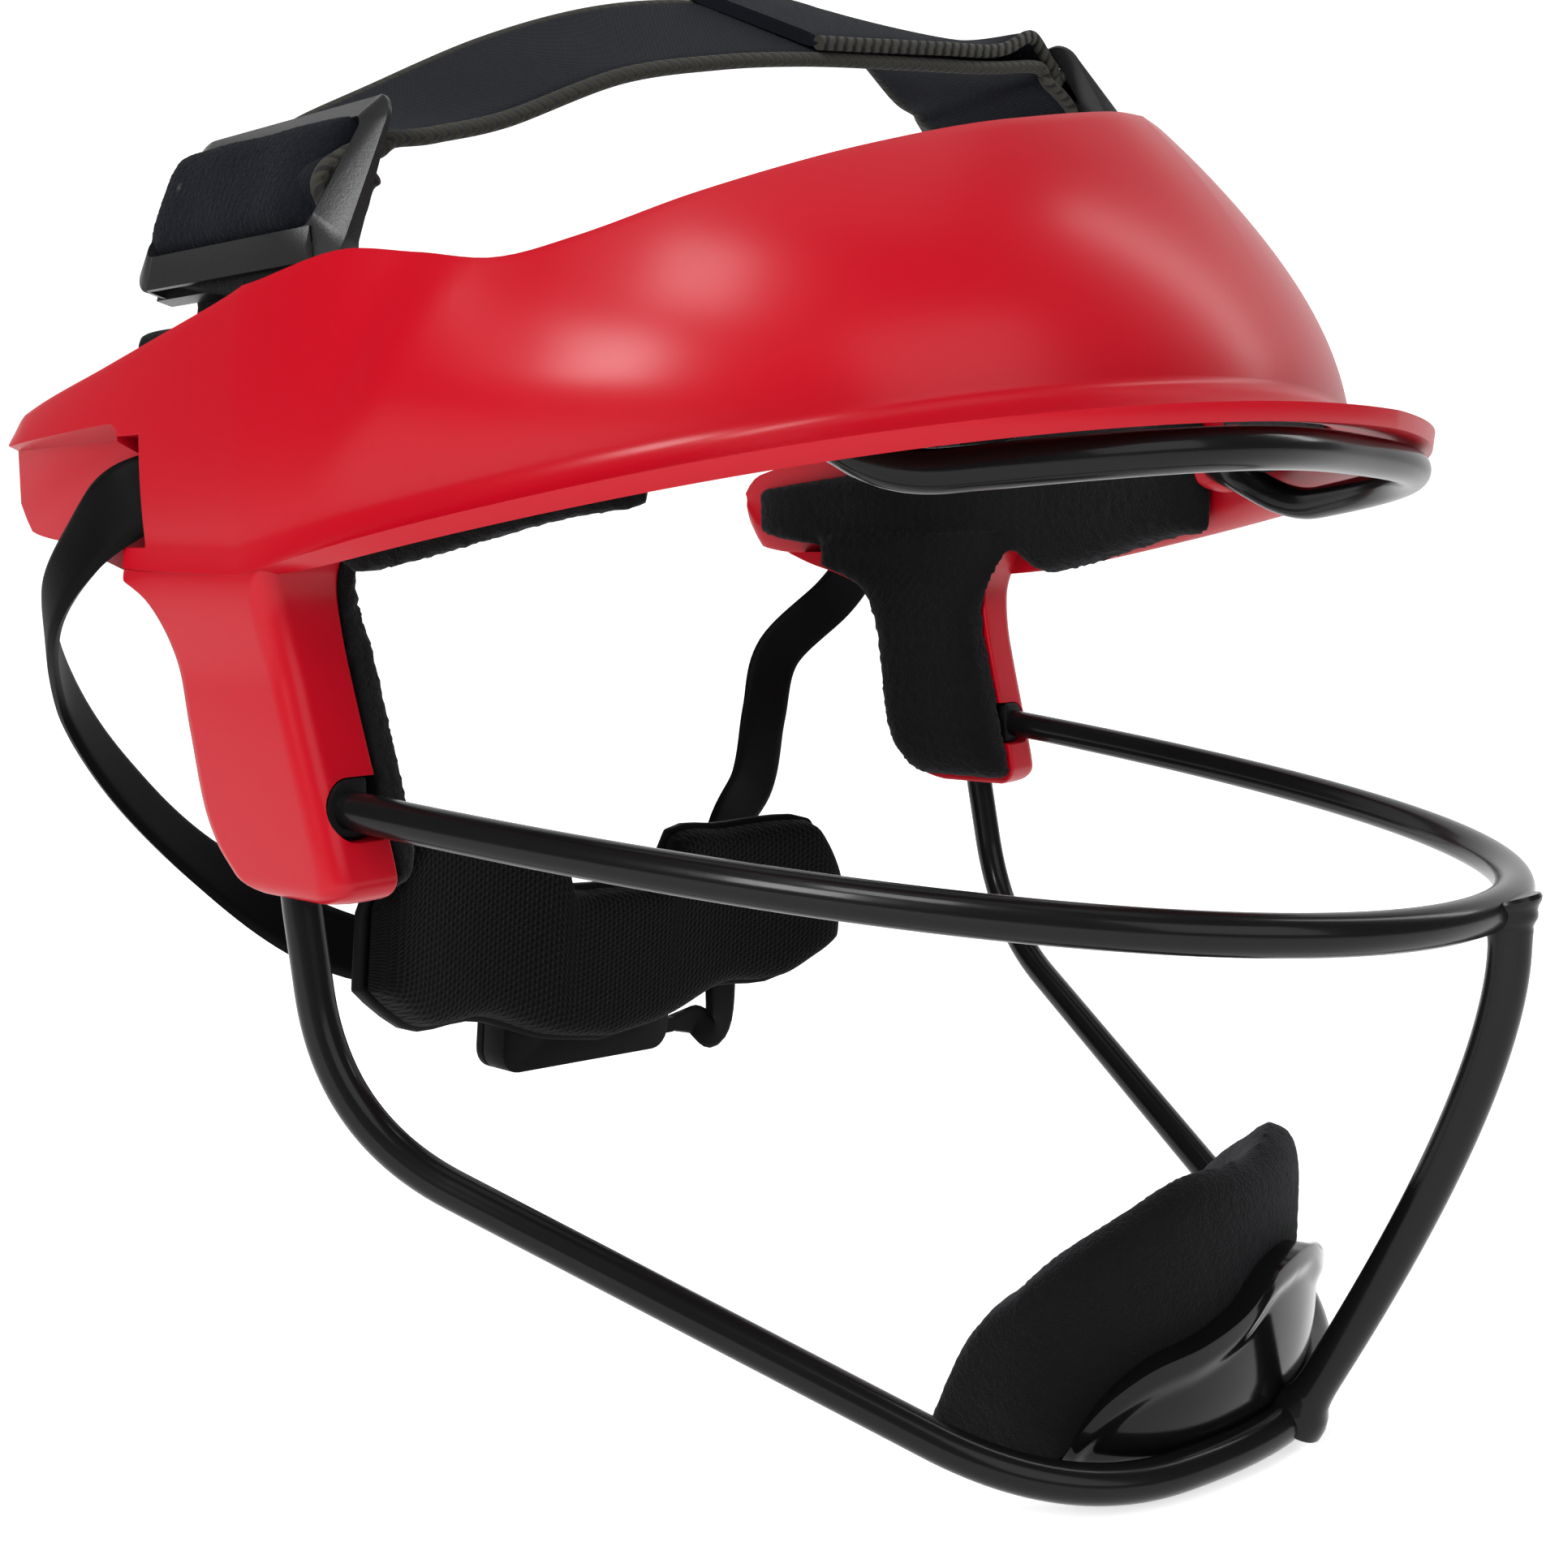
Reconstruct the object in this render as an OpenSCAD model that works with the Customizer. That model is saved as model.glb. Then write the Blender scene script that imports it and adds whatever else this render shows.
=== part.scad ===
// Softball face guard: a moulded head band with two legs, a welded wire cage,
// a padded chin cup, a top strap on two loops and a dial-adjusted rear cradle.
// The origin is midway between the two bar sockets at the temples. The face looks
// along -Y, +Z is up and the wearer's right is on -X.

/* [Head band] */
// Half width of the band's outer wall at the temples
band_half_w = 88.2; // [84:0.1:92]
// Reach of the band's wall ahead of the bar sockets, at the brow
band_front = 88.5; // [85:0.5:92]
// Reach of the tails behind the bar sockets
band_back = 68; // [60:1:74]
// Wall thickness of the moulding
band_t = 3; // [2.6:0.1:3.4]
// Height of the lower edge at the temples
edge_z = 28.7; // [27:0.1:30]
// Rise of the lower edge from the temples to the brow
edge_rise = 20; // [17:0.5:23]
// Height of the upper rim at the temples
rim_side_z = 63.3; // [61:0.1:66]
// Height of the upper rim at the brow
rim_front_z = 88.5; // [86:0.5:91]
// How far the upper rim leans back from the brow line
rim_inset = 22.5; // [20:0.5:25]
// Swell of the wall between the brow line and the rim
wall_swell = 3.6; // [2:0.1:4.5]
// Reach of the brim ahead of the brow line
brim_reach = 12.6; // [10:0.1:14]
// Height of the hollow above the brim
brim_lip = 3.9; // [3:0.1:5]
// Thickness of the brim at its tip
brim_t = 2.2; // [2:0.1:2.6]

/* [Legs] */
// Distance of a leg's outer face from the middle, at its top
leg_out_x = 87.4; // [86.5:0.1:88]
// Thickness of a leg across the head
leg_thick = 10.1; // [9.8:0.1:11]
// Width of a leg seen from the side
leg_w = 25; // [23:0.5:27]
// Height of a leg's foot
leg_low_z = -11.8; // [-13:0.1:-10]
// How far the foot lies ahead of the leg's top
leg_lean = 10.5; // [9:0.5:12]
// Wall of the hollow leg
leg_wall = 2.4; // [2:0.1:2.6]

/* [Wire cage] */
// Diameter of the coated steel wire
wire_d = 5; // [4.6:0.1:5.2]
// Half distance between the two bar sockets
socket_half_w = 80.4; // [80:0.1:81]
// Reach of the middle bar ahead of its sockets
bar_front = 115.1; // [110:0.5:120]
// Drop of the middle bar from its sockets to its front
bar_drop = 11; // [8:0.5:14]
// Height of the lowest point of the jaw wire, at the chin
jaw_low_z = -82.5; // [-88:0.5:-80]
// Reach of the jaw wire ahead of the sockets, at the chin
jaw_front = 92.5; // [90:0.5:96]
// Height of the upper bend of the jaw wire
jaw_bend_z = -41; // [-45:0.5:-38]
// Reach of the brow wire ahead of the sockets
brow_front = 96.2; // [94:0.1:97]
// Height of the brow wire's front
brow_z = 43.6; // [43:0.1:44]

/* [Padding] */
// Thickness of the temple and brow pads
pad_t = 8; // [6:0.5:9]
// How far the pads stand out past the moulding's edges
pad_over = 2; // [1:0.5:3]
// Thickness of the cheek pads on the legs
leg_pad_t = 6; // [5:0.5:8]
// Thickness of the chin pad
chin_pad_t = 9; // [7:0.5:10]

/* [Chin cup] */
// Half width of the chin cup
cup_half_w = 36; // [34:0.5:38]
// Depth of the chin cup from its front wall to its middle
cup_depth = 25; // [23:0.5:27]
// Height of the cup's front rim
cup_rim_z = -65; // [-67:0.5:-62]
// Wall thickness of the cup
cup_t = 2.4; // [2:0.1:3]
// Height of the chin pad's upper corners
chin_pad_z = -46.5; // [-52:0.5:-46]

/* [Top strap] */
// Width of the strap
strap_w = 32; // [28:0.5:33]
// Thickness of the strap and its tabs
strap_t = 2; // [1.6:0.1:2.2]
// Width of a loop
loop_w = 42; // [40:0.5:44]
// Height of a loop
loop_h = 22; // [21:0.5:24]
// Thickness of a loop
loop_t = 2.4; // [2:0.1:3]

/* [Rear cradle] */
// Half width of the cradle
cradle_half_w = 60; // [56:1:64]
// Distance of the cradle behind the sockets
cradle_y = 37; // [35:0.5:40]
// Height of the cradle's middle
cradle_z = -33; // [-35:0.5:-31]
// Thickness of the cradle's plate
cradle_t = 2; // [1.6:0.1:2.4]
// Thickness of the cradle's pad
cradle_pad_t = 5; // [4:0.5:7]
// Width of the side bands
side_band_w = 10; // [8:0.5:11]
// Thickness of the side bands
side_band_t = 1.6; // [1.4:0.1:1.8]

/* [Dial] */
// Radius of the knob
knob_r = 13; // [12:0.5:14]
// Depth of the knob
knob_h = 7; // [6:0.5:8]
// Number of teeth on the pinion
pinion_teeth = 12; // [12:1:12]
// Tooth module of the pinion and the racks
tooth_module = 1; // [1:0.05:1]
// Play between the flanks of the teeth
tooth_play = 0.3; // [0.2:0.05:0.4]

/* [Hidden] */

// Steps along the swept forms
wall_steps = 7;
brim_steps = 4;
half_stations = 17;
tail_stations = 7;
wire_sides = 12;
wire_steps = 20;
fine = 40;
coarse = 24;
// One overrun for every cut, one air gap between pieces that only face each other
overrun = 1;
gap = 0.3;
tiny = 0.01;
wire_r = wire_d / 2;
RIGHT = -1;
LEFT = 1;

// Places along the band: the leg meets it at temple_y, and the lengths run from there
temple_y = 7.7;
tail_inset = 2.6;
tail_extra_t = 1.2;
tail_low_rise = 1.2;
plan_pull_shares = [0.975, 0.87, 0.317];
tail_low_shares = [[-1, 0.9], [-0.95, 0.5], [-0.6, 0.12], [-0.45, 0], [0, 0]];
tail_low_lift = 11;
rim_shares = [[-1, -0.66], [-0.93, -0.52], [-0.52, -0.28], [-0.24, -0.14], [0, 0], [0.07, 0.1], [0.12, 0.06],
              [0.17, 0.01], [0.22, 0.09], [0.3, 0.28], [0.4, 0.47], [0.5, 0.615], [0.6, 0.73],
              [0.7, 0.82], [0.8, 0.9], [0.9, 0.965], [1, 1]];
inset_shares = [[-1, 0.05], [0, 0.05], [0.1, 0.09], [0.2, 0.235], [0.3, 0.43], [0.4, 0.61], [0.5, 0.75],
                [0.6, 0.85], [0.7, 0.925], [0.8, 0.97], [1, 1]];
brim_shares = [[-1, 0.04], [-0.3, 0.1], [0, 0.15], [0.1, 0.175], [0.2, 0.25], [0.3, 0.365], [0.4, 0.51],
               [0.5, 0.66], [0.6, 0.79], [0.7, 0.89], [0.8, 0.95], [1, 1]];
swell_shares = [[-1, 0.15], [0, 0.3], [0.3, 0.6], [0.6, 1], [1, 1]];

// A table of [place, value] pairs read smoothly at t
function slot_of(tab, t, i = 0) = i >= len(tab) - 2 || t < tab[i + 1][0] ? i : slot_of(tab, t, i + 1);
function slope_of(tab, i) =
    let (a = max(i - 1, 0), b = min(i + 1, len(tab) - 1))
    (tab[b][1] - tab[a][1]) / (tab[b][0] - tab[a][0]);
function smooth_at(tab, t) =
    let (i = slot_of(tab, t),
         h = tab[i + 1][0] - tab[i][0],
         u = (t - tab[i][0]) / h)
    (2 * u ^ 3 - 3 * u ^ 2 + 1) * tab[i][1] + (u ^ 3 - 2 * u ^ 2 + u) * h * slope_of(tab, i)
    + (3 * u ^ 2 - 2 * u ^ 3) * tab[i + 1][1] + (u ^ 3 - u ^ 2) * h * slope_of(tab, i + 1);
function route_at(points, t) = smooth_at([for (i = [0:len(points) - 1]) [i, points[i]]], t);
function bez2(a, b, c, t) = (1 - t) ^ 2 * a + 2 * (1 - t) * t * b + t ^ 2 * c;
function bez3(a, b, c, d, t) =
    (1 - t) ^ 3 * a + 3 * (1 - t) ^ 2 * t * b + 3 * (1 - t) * t ^ 2 * c + t ^ 3 * d;
function unit(v) = v / norm(v);
function mirrored(points) = [for (p = points) [-p.x, p.y, p.z]];
function reversed(v) = [for (i = [len(v) - 1:-1:0]) v[i]];
function total(v) = v * [for (x = v) 1];

// A closed solid through a row of closed loops that all have the same, even number of points
module loft(loops) {
    k = len(loops[0]);
    n = len(loops);
    points = [for (l = loops) each l];
    sides = [for (i = [0:n - 2], j = [0:k - 1])
        let (a = i * k + j, b = i * k + (j + 1) % k) each [[a, b, b + k], [a, b + k, a + k]]];
    first = [for (i = [0:k / 2 - 2])
        each [[i, k - 1 - i, k - 2 - i], [i, k - 2 - i, i + 1]]];
    last = [for (f = first) [f[0], f[2], f[1]] + (n - 1) * k * [1, 1, 1]];
    faces = concat(sides, first, last);
    volume = total([for (f = faces) points[f[0]] * cross(points[f[1]], points[f[2]])]);
    polyhedron(points, volume > 0 ? [for (f = faces) [f[2], f[1], f[0]]] : faces);
}

// Loops across a path: a round wire and a flat ribbon
function ring_loop(c, along, r, sides) =
    let (side = unit(cross(along, [0.2, 0.1, 1])), up = unit(cross(side, along)))
    [for (i = [0:sides - 1]) c + r * (cos(360 * i / sides) * side + sin(360 * i / sides) * up)];
function path_dir(path, i) =
    unit(path[min(i + 1, len(path) - 1)] - path[max(i - 1, 0)]);
module wire(path, r = wire_r) {
    loft([for (i = [0:len(path) - 1]) ring_loop(path[i], path_dir(path, i), r, wire_sides)]);
}
function ribbon_loop(c, wide, thick, w, t) =
    [c - wide * w / 2 - thick * t / 2, c + wide * w / 2 - thick * t / 2,
     c + wide * w / 2 + thick * t / 2, c - wide * w / 2 + thick * t / 2];

// The band's plan: t is -1 at the tail's end, 0 at the temple and 1 at the brow
function plan_at(t) = t < 0
    ? [-(band_half_w - tail_inset * t * t), temple_y - t * (band_back - temple_y), 0]
    : bez3([-band_half_w, temple_y, 0],
           [-band_half_w * plan_pull_shares[0],
            temple_y - (temple_y + band_front) * plan_pull_shares[1], 0],
           [-band_half_w * plan_pull_shares[2], -band_front, 0],
           [0, -band_front, 0], t);
function plan_out(t) =
    let (d = unit(plan_at(min(t + tiny, 1)) - plan_at(t - tiny))) [d.y, -d.x, 0];
brow_y = -(band_front + brim_reach);
function edge_height(t) = t < 0
    ? edge_z + tail_low_rise * min(-t * 2, 1) + tail_low_lift * smooth_at(tail_low_shares, t)
    : edge_z + edge_rise * (temple_y - plan_at(t).y + smooth_at(brim_shares, t) * brim_reach)
      / (temple_y - brow_y);
function rim_height(t) = rim_side_z + (rim_front_z - rim_side_z) * smooth_at(rim_shares, t);
function wall_t(t) = band_t + (t < 0 ? tail_extra_t * min(1, -2 * t) : 0);

// The band's cross section: [out, up] from the rim down the wall and out along the brim
function outer_chain(t) =
    let (low = edge_height(t), root = low + brim_lip, top = rim_height(t),
         inset = rim_inset * smooth_at(inset_shares, t),
         swell = wall_swell * smooth_at(swell_shares, t),
         out = brim_reach * smooth_at(brim_shares, t))
    concat([for (i = [0:wall_steps]) let (v = 1 - i / wall_steps)
                [-inset * v + 4 * swell * v * (1 - v), root + (top - root) * v]],
           [for (i = [1:brim_steps]) let (u = i / brim_steps)
                bez2([0, root], [0, low + brim_lip / 4], [out, low], u)]);
function chain_in(c, i) =
    let (d = unit(c[min(i + 1, len(c) - 1)] - c[max(i - 1, 0)])) [d.y, -d.x];
function inner_chain(t, depth) =
    let (c = outer_chain(t))
    [for (i = [0:len(c) - 1])
        let (last = (i - wall_steps) / brim_steps,
             thick = i <= wall_steps ? depth : depth + (min(brim_t, depth) - depth) * last)
        c[i] + thick * chain_in(c, i)];
function placed(t, q) = plan_at(t) + q[0] * plan_out(t) + [0, 0, q[1]];
function band_loop(t) =
    concat([for (q = outer_chain(t)) placed(t, q)],
           reversed([for (q = inner_chain(t, wall_t(t))) placed(t, q)]));
tail_places = [for (i = [0:tail_stations - 1]) -1 + i / tail_stations];
brow_places = [for (i = [0:half_stations]) i / half_stations];
module band_body() {
    half = [for (t = concat(tail_places, brow_places)) band_loop(t)];
    other = [for (i = [len(half) - 2:-1:0]) mirrored(half[i])];
    loft(concat(half, other));
}

// Legs: an outline in shares of the leg's width and height, drawn from its front edge
leg_taper_share = 0.05;
leg_corner_r = 3;
leg_edge_r = 1.2;
leg_shares = [[0.44, 1.12], [0.41, 0.92], [0, 0.08], [0.08, 0], [0.66, 0], [0.93, 0.07], [1.13, 0.27],
              [1.2, 0.51], [1.28, 0.76], [1.4, 0.92], [1.6, 1.02], [1.6, 1.12]];
leg_h = edge_z - leg_low_z;
leg_top_y = 6.5;
leg_toe_y = leg_top_y - leg_lean;
module leg_outline(grow = 0) {
    offset(r = leg_corner_r + grow)
        offset(delta = -leg_corner_r)
            polygon([for (s = leg_shares) [leg_toe_y + s[0] * leg_w, leg_low_z + s[1] * leg_h]]);
}
// A prism drawn in Y and Z, from the distance x0 to x1 off the middle, on the leg's slant
module across(side, x0, x1) {
    lean = -side * leg_taper_share;
    multmatrix([[1, 0, -lean, lean * edge_z], [0, 1, 0, 0], [0, 0, 1, 0], [0, 0, 0, 1]])
        multmatrix([[0, 0, side, side * x0], [1, 0, 0, 0], [0, 1, 0, 0], [0, 0, 0, 1]])
            linear_extrude(x1 - x0) children();
}
leg_in_x = leg_out_x - leg_thick;
module leg_body(side) {
    hull() {
        across(side, leg_in_x, leg_out_x - leg_edge_r) leg_outline();
        across(side, leg_in_x, leg_out_x) leg_outline(-leg_edge_r);
    }
}

// Sockets of the middle bar, holes of the jaw wire and the pockets of the two tails
grommet_h = 8;
grommet_depth = 5;
grommet_proud = 0.6;
notch_wall = 0.9;
socket_in_share = 0.119;
socket_y = leg_toe_y + socket_in_share * leg_w;
recess_depth = 1.7;
recess_top = 46;
recess_front = 35.3;
recess_slope_share = 0.08;
slot_w = 5.5;
slot_low = 33.4;
slot_high = 46.6;
module notch(side, from_y, to_y) {
    across(side, leg_in_x - overrun, leg_out_x - leg_edge_r - notch_wall)
        translate([from_y, -grommet_h / 2]) square([to_y - from_y, grommet_h]);
}
jaw_hole_clear = 0.05;
boss_r = 4.6;
boss_h = 5;
boss_sink = 1.2;
brow_place = 0.3;
brow_row = 6;
brow_seat = placed(brow_place, inner_chain(brow_place, wall_t(brow_place))[brow_row]);
brow_end = brow_seat - boss_h / 2 * plan_out(brow_place);
shell_red = [0.72, 0.03, 0.07];
module shell() {
    color(shell_red) difference() {
        union() {
            band_body();
            for (side = [RIGHT, LEFT]) {
                difference() {
                    leg_body(side);
                    across(side, leg_in_x - overrun, leg_out_x - leg_wall)
                        leg_outline(-leg_wall);
                }
                brow_boss(side);
            }
        }
        for (side = [RIGHT, LEFT]) {
            notch(side, socket_y - grommet_depth, socket_y - grommet_proud + grommet_depth);
            tail_pocket(side);
        }
        wire(both(jaw_half()), wire_r + jaw_hole_clear);
        wire(both(brow_half()));
        for (side = [RIGHT, LEFT]) rivet(side, band_rivet_at, 2 * band_t);
        rivet(RIGHT, tab_rivet_at(tab_right_y), 2 * band_t);
        rivet(LEFT, tab_rivet_at(tab_left_y), 2 * band_t);
    }
}
// The pocket keeps the strip below the rim proud, and the slot lets the side band out
module tail_pocket(side) {
    x_face = band_half_w - tail_inset;
    from_x = side * (x_face - recess_depth);
    multmatrix([[0, 0, side, from_x], [1, 0, 0, 0], [0, 1, 0, 0], [0, 0, 0, 1]])
        linear_extrude(band_half_w)
            polygon([[recess_front, 0], [band_back + band_t, 0],
                     [band_back + band_t, recess_top - recess_slope_share * (band_back - recess_front)],
                     [recess_front, recess_top]]);
    multmatrix([[0, 0, side, 0], [1, 0, 0, 0], [0, 1, 0, 0], [0, 0, 0, 1]])
        linear_extrude(band_half_w + overrun)
            translate([recess_front - slot_w, slot_low]) square([slot_w, slot_high - slot_low]);
}

// The cage. Each wire is drawn on the wearer's right and mirrored
socket_reach = 8;
bar_pull_shares = [0.888, 0.601, 0.557];
jaw_out = [0.8, 1.4, 1.6];
jaw_top = [-socket_half_w - jaw_out[0], 12.5, 18];
jaw_foot = [-socket_half_w - jaw_out[1], 7.3, -13.4];
jaw_knee = [-socket_half_w - jaw_out[2], 2.1, jaw_bend_z];
jaw_corner = [-39.1, -80.5, jaw_low_z];
knee_cut = 17.6;
corner_cut = 18;
apex_ease = 9;
function bar_half() =
    let (s = [-socket_half_w, 0, 0],
         a = [-socket_half_w * bar_pull_shares[0], -bar_front * bar_pull_shares[1],
              -bar_drop * bar_pull_shares[1]],
         b = [-socket_half_w * bar_pull_shares[2], -bar_front, -bar_drop],
         c = [0, -bar_front, -bar_drop])
    concat([s + [0, socket_reach - wire_r, 0], s + [0, wire_r, 0]],
           [for (i = [0:wire_steps]) bez3(s, a, b, c, i / wire_steps)]);
function bend(a, b, c, cut, steps) =
    let (p = b + cut * unit(a - b), q = b + cut * unit(c - b))
    [for (i = [0:steps]) bez2(p, b, q, i / steps)];
bend_steps = 6;
apex_steps = 10;
function jaw_half() =
    let (apex = [0, -jaw_front, jaw_low_z],
         ease = [-apex_ease, -jaw_front, jaw_low_z],
         corner_out = jaw_corner + corner_cut * unit(ease - jaw_corner))
    concat([jaw_top, jaw_foot],
           bend(jaw_foot, jaw_knee, jaw_corner, knee_cut, bend_steps),
           bend(jaw_knee, jaw_corner, ease, corner_cut, bend_steps),
           [for (i = [1:apex_steps]) bez2(corner_out, ease, apex, i / apex_steps)]);
brow_hook = [-57, -56, 45];
brow_dip = [-56.6, -65.9, 39.6];
brow_bow = [-37, -97.7, 43];
hook_cut = 4;
dip_cut = 6.2;
brow_nose_share = 0.55;
function brow_half() =
    let (out = brow_dip + dip_cut * unit(brow_bow - brow_dip),
         front = [0, -brow_front, brow_z],
         nose = [brow_bow.x * brow_nose_share, -brow_front, brow_z])
    concat([brow_end],
           bend(brow_end, brow_hook, brow_dip, hook_cut, bend_steps / 3),
           bend(brow_hook, brow_dip, brow_bow, dip_cut, bend_steps / 3 * 2),
           [for (i = [1:apex_steps]) bez3(out, brow_bow, nose, front, i / apex_steps)]);
function both(half) = concat(half, mirrored(reversed([for (i = [0:len(half) - 2]) half[i]])));
wire_black = [0.03, 0.03, 0.035];
module mid_bar() { color(wire_black) wire(both(bar_half())); }
module jaw_wire() { color(wire_black) wire(both(jaw_half())); }
module brow_wire() { color(wire_black) wire(both(brow_half())); }
module brow_boss(side, grow = 0) {
    out = plan_out(brow_place);
    mirror([side == LEFT ? 1 : 0, 0, 0])
        translate(brow_seat + boss_sink * out) rotate([0, 90, atan2(-out.y, -out.x)])
            cylinder(r1 = boss_r + grow, r2 = boss_r - boss_sink + grow,
                     h = boss_h + boss_sink + grow, $fn = coarse);
}
post_top = [0, -118, -8.8];
post_pull = [0, -121.5, -26];
post_foot = [0, -93.4, -83.4];
post_steps = 16;
module front_post() {
    color(wire_black) difference() {
        wire(post_path());
        wire(both(bar_half()));
        wire(both(jaw_half()));
    }
}
module grommet(side) {
    color([0.05, 0.05, 0.05]) difference() {
        across(side, leg_in_x + gap, leg_out_x - leg_edge_r - notch_wall)
            translate([socket_y - grommet_proud, -grommet_h / 2])
                offset(r = grommet_proud) offset(delta = -grommet_proud)
                    square([grommet_depth, grommet_h]);
        wire(both(bar_half()));
        wire(both(jaw_half()));
    }
}
module bar_grommet_right() { grommet(RIGHT); }
module bar_grommet_left() { grommet(LEFT); }

// Pads that follow the moulding's inner wall, from chain row a to row b
pad_seat = 0.3;
side_pad_places = concat([for (i = [3:tail_stations - 1]) tail_places[i]],
                         [for (i = [0:5]) brow_places[i]]);
brow_pad_places = [for (i = [7:half_stations]) brow_places[i]];
pad_rows_low = 7;
pad_rows_high = 3;
brow_rows_high = 2;
brow_over = 0.5;
pad_end_share = 0.35;
function pad_loop(t, high, over, ends) =
    let (face = inner_chain(t, wall_t(t) + pad_seat),
         back = inner_chain(t, wall_t(t) + pad_seat + pad_t * ends),
         outer = [for (i = [high:pad_rows_low]) face[i]],
         inner = [for (i = [high:pad_rows_low]) back[i]],
         drop = [0, -over])
    concat([for (q = outer) placed(t, q)], [placed(t, face[pad_rows_low] + drop)],
           [placed(t, back[pad_rows_low] + drop)], reversed([for (q = inner) placed(t, q)]));
function place_share(places, t) = (t - places[0]) / (places[len(places) - 1] - places[0]);
function pad_end(u) = pad_end_share + (1 - pad_end_share) * sqrt(max(0, sin(180 * u)));
module side_pad(side) {
    mirror([side == LEFT ? 1 : 0, 0, 0]) {
        difference() {
            side_pad_band();
            translate([-band_half_w, pad_pocket[0], pad_pocket[2]])
                cube([band_half_w - pad_pocket_x, pad_pocket[1] - pad_pocket[0],
                      pad_pocket[3] - pad_pocket[2]]);
            across(RIGHT, leg_in_x - pad_seat, leg_out_x + overrun) hull() leg_outline(gap);
            brow_boss(RIGHT, gap);
            wire(both(brow_half()), wire_r + gap);
        }
        leg_pad();
    }
}
// The side band and its rivet lie in a pocket of the pad: from y, to y, from z, to z
pad_pocket = [14, 42.5, 33.4, 48.8];
pad_pocket_x = 79.1;
module side_pad_band() {
    loft([for (t = side_pad_places)
        pad_loop(t, pad_rows_high, pad_over + brim_lip, pad_end(place_share(side_pad_places, t)))]);
}
leg_pad_inset = 0.6;
leg_pad_bevel = 2.8;
leg_pad_high_z = 34;
module leg_pad() {
    x1 = leg_in_x - pad_seat;
    hull() {
        across(RIGHT, x1 - leg_pad_t / 3, x1) leg_pad_low(leg_pad_inset);
        across(RIGHT, x1 - leg_pad_t, x1) leg_pad_low(leg_pad_inset + leg_pad_bevel);
    }
    hull() {
        across(RIGHT, x1 - leg_pad_t / 3, x1) leg_pad_high(leg_pad_inset);
        across(RIGHT, x1 - leg_pad_t, x1) leg_pad_high(leg_pad_inset + leg_pad_bevel);
    }
}
leg_pad_split_z = 20;
leg_pad_lap = 1;
module leg_pad_low(inset) {
    intersection() {
        leg_outline(-inset);
        translate([-band_half_w, leg_low_z])
            square([2 * band_half_w, leg_pad_split_z - leg_low_z]);
    }
}
module leg_pad_high(inset) {
    intersection() {
        leg_outline(-inset);
        translate([-band_half_w, leg_pad_split_z - leg_pad_lap])
            square([2 * band_half_w, leg_pad_high_z - leg_pad_split_z]);
    }
}
felt_black = [0.045, 0.045, 0.05];
module side_pad_right() { color(felt_black) side_pad(RIGHT); }
module side_pad_left() { color(felt_black) side_pad(LEFT); }
module brow_pad() {
    half = [for (t = brow_pad_places)
        pad_loop(t, brow_rows_high, brow_over, pad_end(place_share(brow_pad_places, t) / 2))];
    color(felt_black) difference() {
        loft(concat(half, [for (i = [len(half) - 2:-1:0]) mirrored(half[i])]));
        wire(both(brow_half()), wire_r + gap);
    }
}

// Chin cup and pad: angle a is 0 at the front and grows to both sides
cup_mid_y = -67;
cup_low_z = -85.6;
cup_sweep = 62;
cup_steps = 20;
bowl_shares = [[-1.2, 1], [0, 1], [0.36, 1], [0.6, 0.985], [0.79, 0.94], [0.92, 0.85], [0.99, 0.7], [1, 0.5]];
bowl_rows = 4;
bowl_turn_share = 0.79;
bowl_floor_shares = [0.92, 0.99, 1];
cup_fall_share = 0.72;
cup_deep = cup_low_z - cup_rim_z;
function cup_point(a, r_share, z) = abs(a) <= 90
    ? [cup_half_w * sin(a) * r_share, cup_mid_y - cup_depth * cos(a) * r_share, z]
    : [sign(a) * cup_half_w * r_share, cup_mid_y + (abs(a) - 90) * cup_half_w * PI / 180, z];
function cup_rim(a) = cup_rim_z + cup_deep * cup_fall_share * (abs(a) / cup_sweep) ^ 3;
function bowl_r(z) = smooth_at(bowl_shares, (z - cup_rim_z) / cup_deep);
function bowl_wall(a, top, inset) =
    let (turn = cup_rim_z + cup_deep * bowl_turn_share)
    concat([for (i = [0:bowl_rows - 1])
                let (z = top + (turn - top) * i / (bowl_rows - 1))
                cup_point(a, bowl_r(z) - inset / cup_depth, z + (i == bowl_rows - 1 ? inset / 2 : 0))],
           [for (v = bowl_floor_shares)
                let (z = cup_rim_z + cup_deep * v) cup_point(a, bowl_r(z) - inset / cup_depth, z + inset)]);
function cup_wall(a, inset) = bowl_wall(a, cup_rim(a), inset);
function post_path() = [for (i = [0:post_steps]) bez2(post_top, post_pull, post_foot, i / post_steps)];
module chin_cup() {
    color([0.02, 0.02, 0.025]) difference() {
        loft([for (i = [0:cup_steps])
            let (a = -cup_sweep + 2 * cup_sweep * i / cup_steps)
            concat(cup_wall(a, 0), reversed(cup_wall(a, cup_t)))]);
        wire(both(jaw_half()), wire_r + jaw_hole_clear);
        wire(post_path(), wire_r + jaw_hole_clear);
    }
}
chin_sweep = 110;
chin_steps = 24;
chin_top_shares = [[0, 0.9], [0.18, 0.95], [0.32, 0.93], [0.5, 0.7], [0.68, 0.44], [0.85, 0.18],
                   [0.95, -0.12], [1, -0.5]];
function chin_top(a) =
    cup_rim_z + (chin_pad_z - cup_rim_z) * smooth_at(chin_top_shares, abs(a) / chin_sweep);
function chin_wall(a, inset) = bowl_wall(a, chin_top(a), cup_t + pad_seat + inset);
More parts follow.
